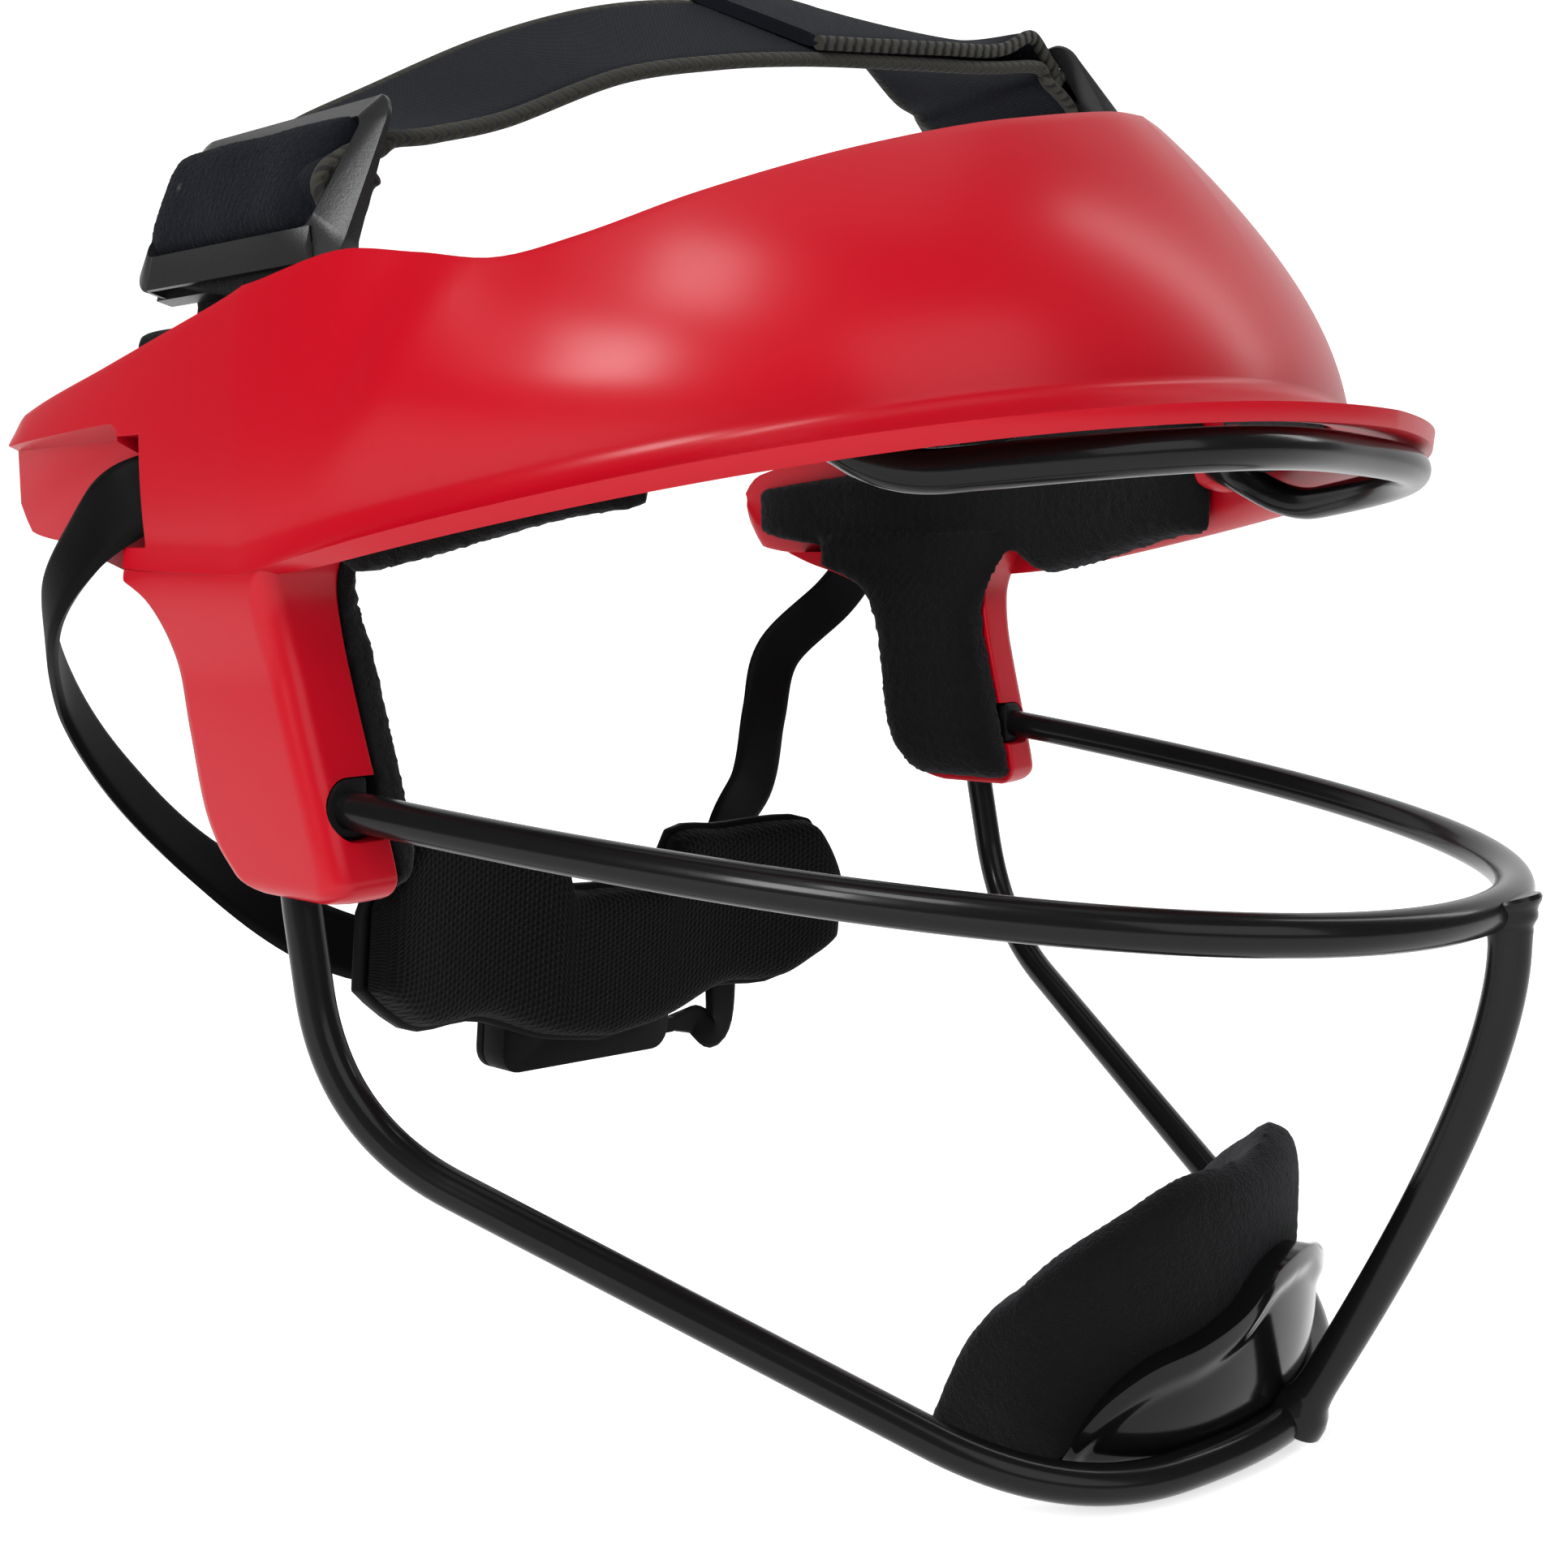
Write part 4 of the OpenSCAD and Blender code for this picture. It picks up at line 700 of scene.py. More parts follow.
def brow_seat():
    """Where the brow wire meets the wall's inside, and the way out of the wall there."""
    t = np.array([BROW_T])
    return placed(t, inner_chain(t, wall_t(t), 8, 4))[0, 6], plan_out(t)[0]


def brow_boss(side):
    seat, out = brow_seat()
    path = np.stack([seat + out * s for s, _ in BOSS])
    boss = tube("boss", path, [r for _, r in BOSS], (0, 0, 1), RED)
    if side == LEFT:
        boss.data.transform(Matrix.Diagonal((-1, 1, 1, 1)))
        boss.data.flip_normals()
    return boss


def socket_block(side, y0, y1, half_h, x_out, x_in):
    """A block along Y whose outer end is rounded, as the notch for the middle bar is."""
    a = np.linspace(-np.pi / 2, np.pi / 2, 15)
    r = half_h * 0.9
    loop = [(x_in, -half_h), *zip(x_out - r + r * np.cos(a), half_h * np.sin(a)), (x_in, half_h)]
    grid = np.array([[(side * x, y, z) for x, z in loop] for y in (y0, y1)])
    return make_mesh("cutter", grid, RUBBER)


def make_grommet(side, name):
    """Black rubber round the bar's end, seated a little below the leg's front face."""
    back = SOCKET_Y + GROMMET_DEPTH
    block = socket_block(side, SOCKET_Y - 0.1, back, GROMMET_H, LEG_OUT - 3.4, LEG_IN + 0.3)
    block.name = name + "_rubber"
    soften(block, 0.5, 3, 30)
    stand_for(block, "band", name, slot="grommet")


def make_shell():
    shell, cutters = band_solid(), []
    join(shell, [leg_solid(RIGHT), leg_solid(LEFT), brow_boss(RIGHT), brow_boss(LEFT)], "UNION")
    back = SOCKET_Y + SOCKET_DEPTH
    for side in (RIGHT, LEFT):
        cutters += tail_cutters(side)
        cutters.append(socket_block(side, LEG_TOE - 8, back, SOCKET_H, LEG_OUT - 3.2, LEG_IN - 3))
    join(shell, cutters, "DIFFERENCE")
    shell.name = "shell_moulding"
    soften(shell, 0.7, 3, 30)
    stand_for(shell, "band", "shell", slot="red_shell")


# The wire cage
WIRE_R, SOCKET_X, BAR_FRONT, BAR_DROP = 2.5, 80.4, 115.1, 11.0


def rounded_corner(a, b, c, cut, steps):
    a, b, c = (np.asarray(p, float) for p in (a, b, c))
    return bez([b + cut * unit(a - b), b, b + cut * unit(c - b)], np.linspace(0, 1, steps))


def bar_half():
    """The middle bar's near half, from inside its socket to the front."""
    start = np.array([-SOCKET_X, 0, 0])
    pulls = [start, (-SOCKET_X * 0.888, -BAR_FRONT * 0.601, -BAR_DROP * 0.601),
             (-SOCKET_X * 0.557, -BAR_FRONT, -BAR_DROP), (0, -BAR_FRONT, -BAR_DROP)]
    return np.concatenate([[start + (0, 5.5, 0)], [start + (0, 2.5, 0)], bez(pulls, np.linspace(0, 1, 70))])


def jaw_half():
    """The jaw wire's near half: down from the leg, round the knee and forward to the chin."""
    top, foot, knee = (-81.2, 12.5, 18), (-81.8, 7.3, -13.4), (-82, 2.1, -41)
    corner, ease, apex = (-39.1, -80.5, -82.5), (-9, -92.5, -82.5), (0, -92.5, -82.5)
    cut = 18
    leave = np.array(corner) + cut * unit(np.array(ease) - np.array(corner))
    front = bez([leave, ease, apex], np.linspace(0, 1, 24))[1:]
    return np.concatenate([np.linspace(top, foot, 12), rounded_corner(foot, knee, corner, 17.6, 28),
                           rounded_corner(knee, corner, ease, cut, 28), front])


def brow_half():
    """The brow wire's near half: out of the wall's boss, down in a hook and forward under the brim."""
    seat, out = brow_seat()
    seat, cut = seat - WIRE_R * out, 6.2
    hook, dip, bow, front = (-57, -56, 45), (-56.6, -65.9, 39.6), (-37, -97.7, 43), (0, -96.2, 43.6)
    leave = np.array(dip) + cut * unit(np.array(bow) - np.array(dip))
    arch = bez([leave, bow, (-37 * 0.55, -96.2, 43.6), front], np.linspace(0, 1, 50))[1:]
    return np.concatenate([[seat], rounded_corner(seat, hook, dip, 4, 12),
                           rounded_corner(hook, dip, bow, cut, 16), arch])


def make_cage():
    for node, piece, half, aside in (
        ("mid_bar", "mid_bar_wire", bar_half(), (0, 0, 1)),
        ("jaw_wire", "jaw_wire_bent", jaw_half(), (0, -0.8, 0.6)),
        ("brow_wire", "brow_wire_bent", brow_half(), (0, 0.35, 0.94)),
    ):
        stand_for(tube(piece, both(half), WIRE_R, aside, WIRE), "band", node, slot="wire_coat")
    path = bez([(0, -116.2, -9.6), (0, -121.5, -26), (0, -93.0, -82.9)], np.linspace(0, 1, 90))
    s = length_along(path)
    weld = 1.5 * np.exp(-((s / 2.6) ** 2)) + 1.6 * np.exp(-(((s[-1] - s) / 3.4) ** 2))
    ripple = 1 + 0.05 * np.sin(s * 3.2) * (weld > 0.2)
    post = tube("front_post_welded", path, (WIRE_R + weld) * ripple, (1, 0, 0), WIRE)
    stand_for(post, "band", "front_post", slot="wire_coat")


# Padding, with its gap to the wall
PAD_GAP, PAD_T, LEG_PAD_T, CHIN_PAD_T, CHIN_GAP = 0.35, 7.6, 6.2, 9, 0.3


def crown(w, power, root):
    """1 along the middle and a rounded fall to 0 at both ends of w, which runs from 0 to 1."""
    return np.clip(1 - np.abs(2 * w - 1) ** power, 0, 1) ** (1 / root)


def slab(outer, inner, share):
    """Closed loops from an outer sheet of points to an inner one, of which a share of the depth is used."""
    return around(outer, outer + (inner - outer) * share[..., None])


def lining(t, wall_low, drop, ends):
    """A pad on the wall's inside: from a share of the wall's height down past the brow line by drop."""
    rows = 60
    below = (drop + 0 * t)[:, None] * np.linspace(0, 1, 8)[1:]
    sheets = []
    for depth in (0, PAD_T):
        chain = inner_chain(t, wall_t(t) + PAD_GAP + depth, rows, 4)[:, :rows]
        low = chain[:, -1:] - points(0, below)
        sheets.append(placed(t, np.concatenate([chain[:, int(rows * wall_low) :], low], 1)))
    w = np.linspace(0, 1, sheets[0].shape[1])[None]
    return slab(*sheets, crown(w, 8, 2.2) * ends[:, None])


def keep_largest(work):
    """Removes crumbs that a remesh leaves beside the one form."""
    left, parts = set(work.verts), []
    while left:
        part, edge = set(), [next(iter(left))]
        while edge:
            v = edge.pop()
            if v not in part:
                part.add(v)
                edge += [e.other_vert(v) for e in v.link_edges]
        parts.append(part)
        left -= part
    crumbs = [v for part in sorted(parts, key=len)[:-1] for v in part]
    bmesh.ops.delete(work, geom=crumbs, context="VERTS")


def napped(obj, voxel, fuzz, smooth=4):
    """Melts a pad's parts into one soft form and roughens it with short pile."""
    modify(obj, "REMESH", mode="VOXEL", voxel_size=voxel * MM)
    modify(obj, "SMOOTH", factor=0.6, iterations=smooth)
    settle(obj, 180)
    mesh = obj.data
    rework(mesh, keep_largest)
    rest, turn = np.empty((2, len(mesh.vertices), 3), np.float32)
    mesh.vertices.foreach_get("co", rest.reshape(-1))
    mesh.vertices.foreach_get("normal", turn.reshape(-1))
    x, y, z = (rest / MM).T
    tuft = np.clip(np.random.default_rng(7).normal(0, 0.42, len(rest)), -1, 1.4)
    clump = np.sin(x * 2.9 + 1.3 * np.sin(z * 2.1)) * np.sin(y * 2.6 + np.sin(z * 3.3)) * np.sin(z * 2.7)
    moved = rest + turn * (tuft * 0.5 + clump * 0.5)[:, None] * fuzz * MM
    mesh.vertices.foreach_set("co", moved.ravel().astype(np.float32))
    mesh.update()


def leg_pad(side):
    """A crowned slab on the leg's inner face, inside its outline."""
    f = np.linspace(0.02, 1.2, 48)
    z, front, back = leg_edges(f)
    y0 = front + 0.2 - 3.5 * smooth_share((f - 0.8) / 0.3)
    y1 = np.minimum(back - 0.4, LEG_TOE + 1.95 * LEG_W)
    w = np.linspace(0, 1, 30)[None]
    y = y0[:, None] + (y1 - y0)[:, None] * w
    outer = points((LEG_IN - 0.3 + TAPER * (z - EDGE))[:, None], y, z[:, None])
    depth = LEG_PAD_T * (1 - 0.7 * smooth_share((z - 19) / 13))
    ends = crown(np.clip((f - 0.02) / 2.0, 0, 0.5), 10, 2.2)
    grid = slab(outer, outer - points(depth, 0, 0)[:, None], crown(w, 8, 2.2) * ends[:, None])
    return make_mesh("leg_pad", grid * (side, 1, 1), PLUSH)


SIDE_DROP = [[-30, 6.2], [-18, 6.9], [-8, 6.8], [-5.2, 5.6], [-3, 2.4], [-1.2, 0.3], [6, 0.3], [9, 6.3],
             [20, 6.3], [30, 1.4], [60, 0.8]]


def side_pad(side, name):
    t = np.concatenate([np.linspace(-0.93, 0, 60)[:-1], np.linspace(0, 0.275, 34)])
    ends = crown(np.linspace(0, 1, len(t)), 10, 2.2) * (1 - 0.45 * smooth_share((-0.3 - t) / 0.4))
    grid = lining(t, 0.28, along(SIDE_DROP, plan(t)[:, 1]), ends)
    pad, low = make_mesh(name + "_piece", grid * (-side, 1, 1), PLUSH), leg_pad(side)
    rework(pad.data, lambda work: work.from_mesh(low.data))
    bpy.data.objects.remove(low)
    napped(pad, 0.75, 0.34, 9)
    stand_for(pad, "band", name, slot="felt")


BROW_PAD_FROM = 7 / 17


def brow_lining():
    t = np.linspace(BROW_PAD_FROM, 1, 90)
    share = (t - t[0]) / (1 - t[0]) / 2
    half = lining(t, 0.3, 0.5, crown(share, 14, 2.2))
    pad = make_mesh("brow_pad_piece", both(half), PLUSH)
    napped(pad, 0.8, 0.34)
    stand_for(pad, "band", "brow_pad", slot="felt")


# The chin cup and its pad: angle a is 0 at the front and grows to both sides
CUP_W, CUP_D, CUP_RIM, CUP_LOW, CUP_T, CUP_MID = 36.0, 25.0, -65.0, -85.6, 2.4, -67.0
CUP_END, FLANGE, FLANGE_H, CHIN_END, CHIN_H = 70, 0.9, 3.2, 110, 18.5
CUP_DEEP = CUP_LOW - CUP_RIM
BOWL = [[-1.2, 1], [0, 1], [0.36, 1], [0.6, 0.985], [0.79, 0.94], [0.92, 0.85], [0.99, 0.7], [1, 0.5]]
# Where the wall turns in to the floor, and the floor's stations and their share of the inset
BOWL_TURN = 0.79
FLOOR, FLOOR_LIFT = np.array([0.86, 0.92, 0.97, 0.99, 1, 1]), np.array([0.7, 0.9, 1, 1, 1, 1])
CHIN_TOP = [[0, 0.93], [0.18, 0.95], [0.32, 0.93], [0.5, 0.72], [0.68, 0.46], [0.82, 0.16], [0.92, -0.25],
            [1, -0.85]]
CUP_EDGE = [[0, 5.5], [9, 4.6], [20, 0.8], [32, -1.6], [45, -3.4], [55, -6.6], [62, -10.5], [70, -17]]


def cup_point(a, share, z):
    """A place on the bowl: an ellipse across the chin, and straight back from its sides."""
    r, front = np.radians(a), np.abs(a) <= 90
    x = np.where(front, CUP_W * np.sin(r), np.sign(a) * CUP_W) * share
    straight_back = CUP_MID + (np.abs(a) - 90) * CUP_W * np.pi / 180
    return points(x, np.where(front, CUP_MID - CUP_D * np.cos(r) * share, straight_back), z)


def bowl_sheet(a, top, inset, rows, straight=0):
    """The bowl's wall at each angle from its top edge to the floor's middle, moved inwards by inset.

    Where straight is 1 the wall runs straight down instead of turning in to the floor.
    """
    turn = CUP_RIM + CUP_DEEP * BOWL_TURN
    u = np.linspace(0, 1, rows)
    z = top[:, None] + (turn - top)[:, None] * u
    floor = np.broadcast_to(FLOOR, (len(a), len(FLOOR)))
    share = along(BOWL, np.concatenate([(z - CUP_RIM) / CUP_DEEP, floor], 1))
    share[:, -1] *= 0.9
    straight = (straight + 0 * a)[:, None]
    share = share + (1 - share) * straight
    floor = CUP_RIM + CUP_DEEP * floor + inset * FLOOR_LIFT
    heights = np.concatenate([z + inset / 2 * u**6, floor], 1)
    sunk = 4.2 * straight * smooth_share((CUP_RIM - heights) / 18)
    return cup_point(a[:, None], share - inset / CUP_D, heights - sunk)


def make_cup():
    """The glossy bowl, with a flange along its upper edge."""
    a = np.linspace(-CUP_END, CUP_END, 120)
    top = CUP_RIM + along(CUP_EDGE, np.abs(a))
    outer, inner = bowl_sheet(a, top, 0.0, 40), bowl_sheet(a, top, CUP_T, 40)
    down = (top[:, None] - outer[..., 2]) / FLANGE_H
    flange = FLANGE * smooth_share(1.6 - down) * smooth_share((CUP_END - np.abs(a)) / 6)[:, None]
    out = unit(outer - inner)
    cup = make_mesh("chin_cup_bowl", around(outer + flange[..., None] * out, inner), CUP)
    soften(cup, 0.6, 3, 40)
    stand_for(cup, "band", "chin_cup", slot="cup_black")


def make_chin_pad():
    """The pad that fills the cup and stands over its edge, with a raised crest along its own."""
    a = np.linspace(-CHIN_END, CHIN_END, 150)
    end = np.abs(a) / CHIN_END
    top = CUP_RIM + CHIN_H * along(CHIN_TOP, end)
    straight = smooth_share((np.abs(a) - 52) / 20)
    outer, inner = (bowl_sheet(a, top, CUP_T + CHIN_GAP + depth, 26, straight) for depth in (0, CHIN_PAD_T))
    w = np.linspace(0, 1, outer.shape[1])[None]
    share = crown(0.5 * (w / 0.35).clip(0, 1), 4, 2.0) * (1 - 0.5 * end**6)[:, None]
    crest = 0.45 * (1 - crown(0.5 * (w / 0.3).clip(0, 1), 4, 2.0))[..., None]
    grid = slab(outer + (inner - outer) * crest, inner, share)
    pad = make_mesh("chin_pad_piece", grid, SUEDE)
    napped(pad, 0.85, 0.16, 6)
    stand_for(pad, "band", "chin_pad", slot="felt")


# The top strap, its loops and tabs. BAR_MID is the height of the bar that the strap turns round
STRAP_W, STRAP_T, STRAP_GAP, BRAID_R, LOOP_T, BAR_R = 32.0, 2.0, 0.3, 1.15, 2.4, 1.2
LOW_BAR, TAB_OPENING = 2.2, 6.2
BAR_MID = LOW_BAR + TAB_OPENING + BAR_R
LAY = STRAP_T / 2 + STRAP_GAP
FACE = LOOP_T / 2 + LAY
TURN = BAR_MID - BAR_R - LAY - STRAP_GAP


def loop_frame(place, wide, up, side, lean=0):
    """A loop's middle, and its directions across, out and up; the up one can lean along the loop."""
    wide, up = unit(np.array(wide, float)), np.array(up, float)
    out = unit(np.cross(wide, up))
    out = out * np.sign(out[0] * side)
    up = np.cross(out, wide)
    return np.array(place, float), wide, out, up * np.sign(up[2]) - lean * wide


LOOP_R = loop_frame((-76.1, 22, 65.5), (0, 1, 0), (0.2, -0.2, 0.96), RIGHT, 0.2)
LOOP_L = loop_frame((84, -3.6, 104.6), (0.25, 0.96, -0.05), (-0.648, 0.209, 0.732), LEFT)


def on_loop(f, places):
    """[shift along the bar, out, up] places on a loop's middle plane."""
    places = np.asarray(places, float)
    return f[0] + places[..., :1] * f[1] + places[..., 1:2] * f[2] + places[..., 2:3] * f[3]


# The strap's way: the turns and ends lie in a loop's frame, the run and the folded end in the part's
BAR_TURN = [[0, -FACE, BAR_MID], [0, -2, TURN + 0.8], [0, 0, TURN - 0.2], [0, 2, TURN + 0.8],
            [0, FACE, BAR_MID]]
RIGHT_IN = [[0, -4.8, 16.0, 0], [0, -3.4, 13.5, 0]]
RIGHT_OUT = [[0, 2.8, 12.4, 0], [0, 0.6, 15.2, 0], [0, -3.3, 18.6, 1], [-0.2, -5.6, 21.4, 5],
             [-0.5, -9.8, 24.4, 10]]
LEFT_IN = [[-2.2, -7.5, 23.5], [-1.4, -5.3, 18.5], [-0.5, -2.9, 13]]
LEFT_OUT = [[-0.2, 2.8, 12.4], [-0.6, 0.8, 15.4], [-1.1, -2.8, 18.8], [-1.8, -3.5, 22], [-3.2, -6.5, 28.6]]
RUN = [[-50.2, 15.4, 92.6, 15], [-31.5, 12, 102.3, 18], [-13.5, 9.1, 108.9, 23], [3.7, 6.8, 113.4, 25.4],
       [20, 4.5, 116.1, 25], [35.3, 2.4, 117.7, 22], [49.4, 0.9, 118.2, 15]]
FOLD = [[50, 0.5, 121.3, 15], [36, 1.4, 120.2, 21.5], [21, 3.5, 118.5, 24.8], [7, 5.4, 116.2, 25]]
PILE_STATIONS = len(RIGHT_IN) + len(BAR_TURN) + 2.4


def leaning(rows):
    """Places and the strap's direction across, which leans by a number of degrees."""
    rows = np.array(rows, float)
    turn = np.radians(rows[:, 3])
    return rows[:, :3], points(0, np.cos(turn), np.sin(turn))


def rounded_frame(w0, w1, u0, u1, r, steps=9):
    """A rectangle with round corners in the loop's plane, from its lower rear corner round to the front."""
    a = np.linspace(0, np.pi / 2, steps)
    corners = ((w1 - r, u0 + r), (w1 - r, u1 - r), (w0 + r, u1 - r), (w0 + r, u0 + r))
    turns = (a + math.radians(d) for d in (-90, 0, 90, 180))
    return [points(w + r * np.cos(turn), u + r * np.sin(turn)) for (w, u), turn in zip(corners, turns)]


def bar_between(f, u0, u1, o0):
    """A straight bar of the loop, along its width, from u0 to u1 in height and outwards from o0."""
    corners = [(u0, o0), (u1, o0), (u1, BAR_R), (u0, BAR_R)]
    return make_mesh("bar", on_loop(f, [[(w, o, u) for u, o in corners] for w in (-17.6, 19.6)]), LOOP)


# A loop's window and its two plain bars, and how far its lip reaches to both sides
WINDOW, UPPER_BAR, LOWER_BAR, LOOP_LIP = (-16.9, 18.9, 4.6, 19.4), (8.4, 10.8, -1.2), (0.1, 2.3, -1.19), 17.2


def make_loop(name, f):
    """One moulded frame. Its lower edge is a lip that stands out over the folded tab and sweeps up into a
    wide bevelled front arm, and two plain bars cross it behind."""
    stations = []
    for edge, inner in zip(rounded_frame(-21, 21, 0.2, 22, 3.6), rounded_frame(*WINDOW, 1.8)):
        stations += zip(edge, inner)
    for w in (-17.3, -17.1, -6, 6, 17.1, 17.3):
        stations.append(((w, 0.2), (np.clip(w, *WINDOW[:2]), WINDOW[2])))
    rows = []
    for (wo, uo), (wi, ui) in stations:
        up = smooth_share(np.array((uo - 1) / 20))
        front = smooth_share(np.array((-wo - 14) / 6))
        over = abs(wo) < LOOP_LIP and uo < 1
        high_in = 1.5 + 3.2 * (1 - up) - 0.7 * (1 - front) * up
        low = 3.8 if over else -1.2 + (1.4 * front * min(1.0, uo / 4) if f is LOOP_R else 0)
        high_out = max(high_in - 0.9 - 1.5 * front, low + 0.6)
        rows.append(on_loop(f, [(wo, low, uo), (wo, high_out, uo), (wi, high_in, ui), (wi, low, ui)]))
    ring = make_mesh(name + "_frame", np.array(rows), LOOP, cap="joined")
    join(ring, [bar_between(f, *UPPER_BAR), bar_between(f, *LOWER_BAR)], "UNION")
    ring.name = name + "_moulding"
    soften(ring, 0.55, 3, 30)
    stand_for(ring, "strap", name, slot="loop_grey")


def ribbon_axes(path, wide):
    """A ribbon's directions across and out of its face, square to its path."""
    ahead = unit(np.gradient(path, axis=0))
    thick = unit(np.cross(ahead, wide))
    return np.cross(thick, ahead), thick


def strap_way(count):
    """The strap's middle line, its direction across and out of its face, and its station numbers."""
    (near_in, in_wide), (near_out, out_wide) = leaning(RIGHT_IN), leaning(RIGHT_OUT)
    (run, run_wide), (fold, fold_wide) = leaning(RUN), leaning(FOLD)
    near = on_loop(LOOP_R, np.concatenate([near_in, BAR_TURN, near_out]))
    far = on_loop(LOOP_L, LEFT_IN + BAR_TURN + LEFT_OUT)
    turn, far_wide = np.tile(LOOP_R[1], (len(BAR_TURN), 1)), np.tile(LOOP_L[1], (len(far), 1))
    places = np.concatenate([near, run, far, fold])
    wides = np.concatenate([in_wide, turn, out_wide, run_wide, far_wide, fold_wide])
    path = route(places, count)
    return path, *ribbon_axes(path, route(wides, count)), np.linspace(0, len(places) - 1, count)


def flat_ribbon(name, path, wide, thick, w, t, finish, columns, power=14, mapped=True):
    """Webbing: flat loops with rounded edges carried along a path, of one width or one for each station."""
    a = np.linspace(-1, 1, columns)
    edge = np.clip(1 - np.abs(a) ** power, 0, 1) ** 0.5
    across = np.concatenate([a, a[-2:0:-1]]) * np.broadcast_to(w, len(path))[:, None] / 2
    depth = np.concatenate([edge, -edge[-2:0:-1]]) * t / 2
    grid = path[:, None] + across[..., None] * wide[:, None] + depth[:, None] * thick[:, None]
    uv = (length_along(path), np.append(across[0], across[0, 0])) if mapped else None
    return make_mesh(name, grid, finish, crease=50, uv=uv)


def set_pile(obj, share):
    """The mask of the webbing that has a loop pile."""
    obj.data.attributes.new("pile", "FLOAT", "POINT").data.foreach_set("value", share.astype(np.float32))


def make_strap():
    """The webbing, and the braided cords along its two edges."""
    path, wide, thick, station = strap_way(520)
    strap = flat_ribbon("top_strap_webbing", path, wide, thick, STRAP_W - 1.6, STRAP_T, KNIT, 30)
    near = smooth_share((PILE_STATIONS - station) / 1.2)
    set_pile(strap, np.repeat(near, len(strap.data.vertices) // len(path)))
    stand_for(strap, "strap", "top_strap", slot="elastic")
    for name, side in (("front", -1), ("back", 1)):
        edge = path + side * wide * (STRAP_W / 2 - 0.9)
        stand_for(braid_cord("strap_braid_" + name, edge, wide), "strap", slot="elastic")


def make_pile():
    """The strap's loop-pile end, plump in the near loop: it fills the opening and covers the rear arm."""
    w, u = np.linspace(-14.6, 21.4, 150), np.linspace(5.0, 19.9, 70)
    gw, gu = np.meshgrid(w, u, indexing="ij")
    across, up = (gw - w[0]) / (w[-1] - w[0]), (gu - u[0]) / (u[-1] - u[0])
    sag = 0.25 * np.sin(across * 7.5 + up * 2.1) + 0.18 * np.sin(across * 17 - up * 3.3)
    out = 0.3 + (4.9 - 1.6 * up + sag) * (crown(across, 9, 2.2) * crown(up, 5, 2.0))
    grid = around(on_loop(LOOP_R, points(gw, out, gu)), on_loop(LOOP_R, points(gw, 0.1, gu)))
    fuzz = np.random.default_rng(3).normal(0, 0.05, grid.shape[:2])[..., None] * LOOP_R[2]
    v = np.concatenate([u, u[::-1], [u[0]]])
    pile = make_mesh("top_strap_pile", grid + fuzz, KNIT, crease=70, uv=(w, v))
    # The courses run up the loop, so the two numbers of its map are the other way round
    corners = np.empty(len(pile.data.loops), np.int32)
    pile.data.loops.foreach_get("vertex_index", corners)
    row, column = np.divmod(corners, grid.shape[1])
    pile.data.uv_layers["map"].data.foreach_set("uv", points(v[column], w[row]).ravel())
    set_pile(pile, np.ones(len(pile.data.vertices)))
    stand_for(pile, "strap", slot="elastic")


def braid_cord(name, path, wide):
    """A flattened cord. Its circles start at the strap's own direction across, so the braid doesn't twist."""
    ahead = unit(np.gradient(path, axis=0))
    side = unit(wide - (wide * ahead).sum(1, keepdims=True) * ahead)
    return bar_of(name, path, BRAID_R, side, 0.92 * np.cross(side, ahead), BRAID, 14)


# Side bands: from inside the moulding, out through the slot and round to the racks
BAND_WAY = [[81.6, 17, 41.2, 1, 0, 0], [81.6, 22, 41.1, 1, 0, 0], [81.6, 27, 41, 1, 0, 0],
            [82.8, 30.4, 40.6, 1, -0.3, 0], [87.2, 34.6, 38.4, 1, -0.5, 0], [89.4, 41, 33.4, 1, 0.1, 0],
            [90.0, 50, 24, 1, 0.4, 0], [83, 60, 12, 0.7, 0.7, -0.2], [76, 58.5, -1, 0.45, 0.8, -0.4],
            [66, 53.5, -14, 0.4, 0.85, -0.3], [50, 49, -27, 0.2, 1, 0]]
BAND_W, BAND_THICK = 10, 1.6
CRADLE_MID, CRADLE_ROLL = np.array([4.0, 37.0, -33.0]), math.radians(5.5)
RACK_OUT, GEAR_Y, PITCH_R, RACK_H, RACK_ROOT, DIAL_Z = 25.0, 4.3, 6.0, 4.0, 1.15, -13.0


def on_cradle(x, y, z):
    """A place of the cradle's own frame, which is rolled about Y."""
    c, s = math.cos(CRADLE_ROLL), math.sin(CRADLE_ROLL)
    return CRADLE_MID + points(x * c + z * s, y, -x * s + z * c)


def make_side_band(side, name):
    rack_z = DIAL_Z - side * (PITCH_R + (RACK_H + RACK_ROOT) / 2)
    rows = np.array(BAND_WAY) * (side, 1, 1, side, 1, 1)
    last = ((14, 0.5), (7, 1.5), (0.01, 1.5))
    ends = [on_cradle(side * (RACK_OUT + d), GEAR_Y + y, rack_z) for d, y in last]
    path = route(np.concatenate([rows[:, :3], ends]), 150)
    out = route(np.concatenate([unit(rows[:, 3:]), np.tile([0, 1.0, 0], (3, 1))]), 150)
    ahead = unit(np.gradient(path, axis=0))
    wide = unit(np.cross(out, ahead))
    u = np.linspace(0, 1, 150)
    w = BAND_W + (RACK_H - RACK_ROOT - BAND_W) * np.clip(u * 5 - 4, 0, 1)
    thick = np.cross(ahead, wide)
    band = flat_ribbon(name + "_strip", path, wide, thick, w, BAND_THICK, MATTE, 14, 10, mapped=False)
    stand_for(band, "band", name, slot="strap_black")


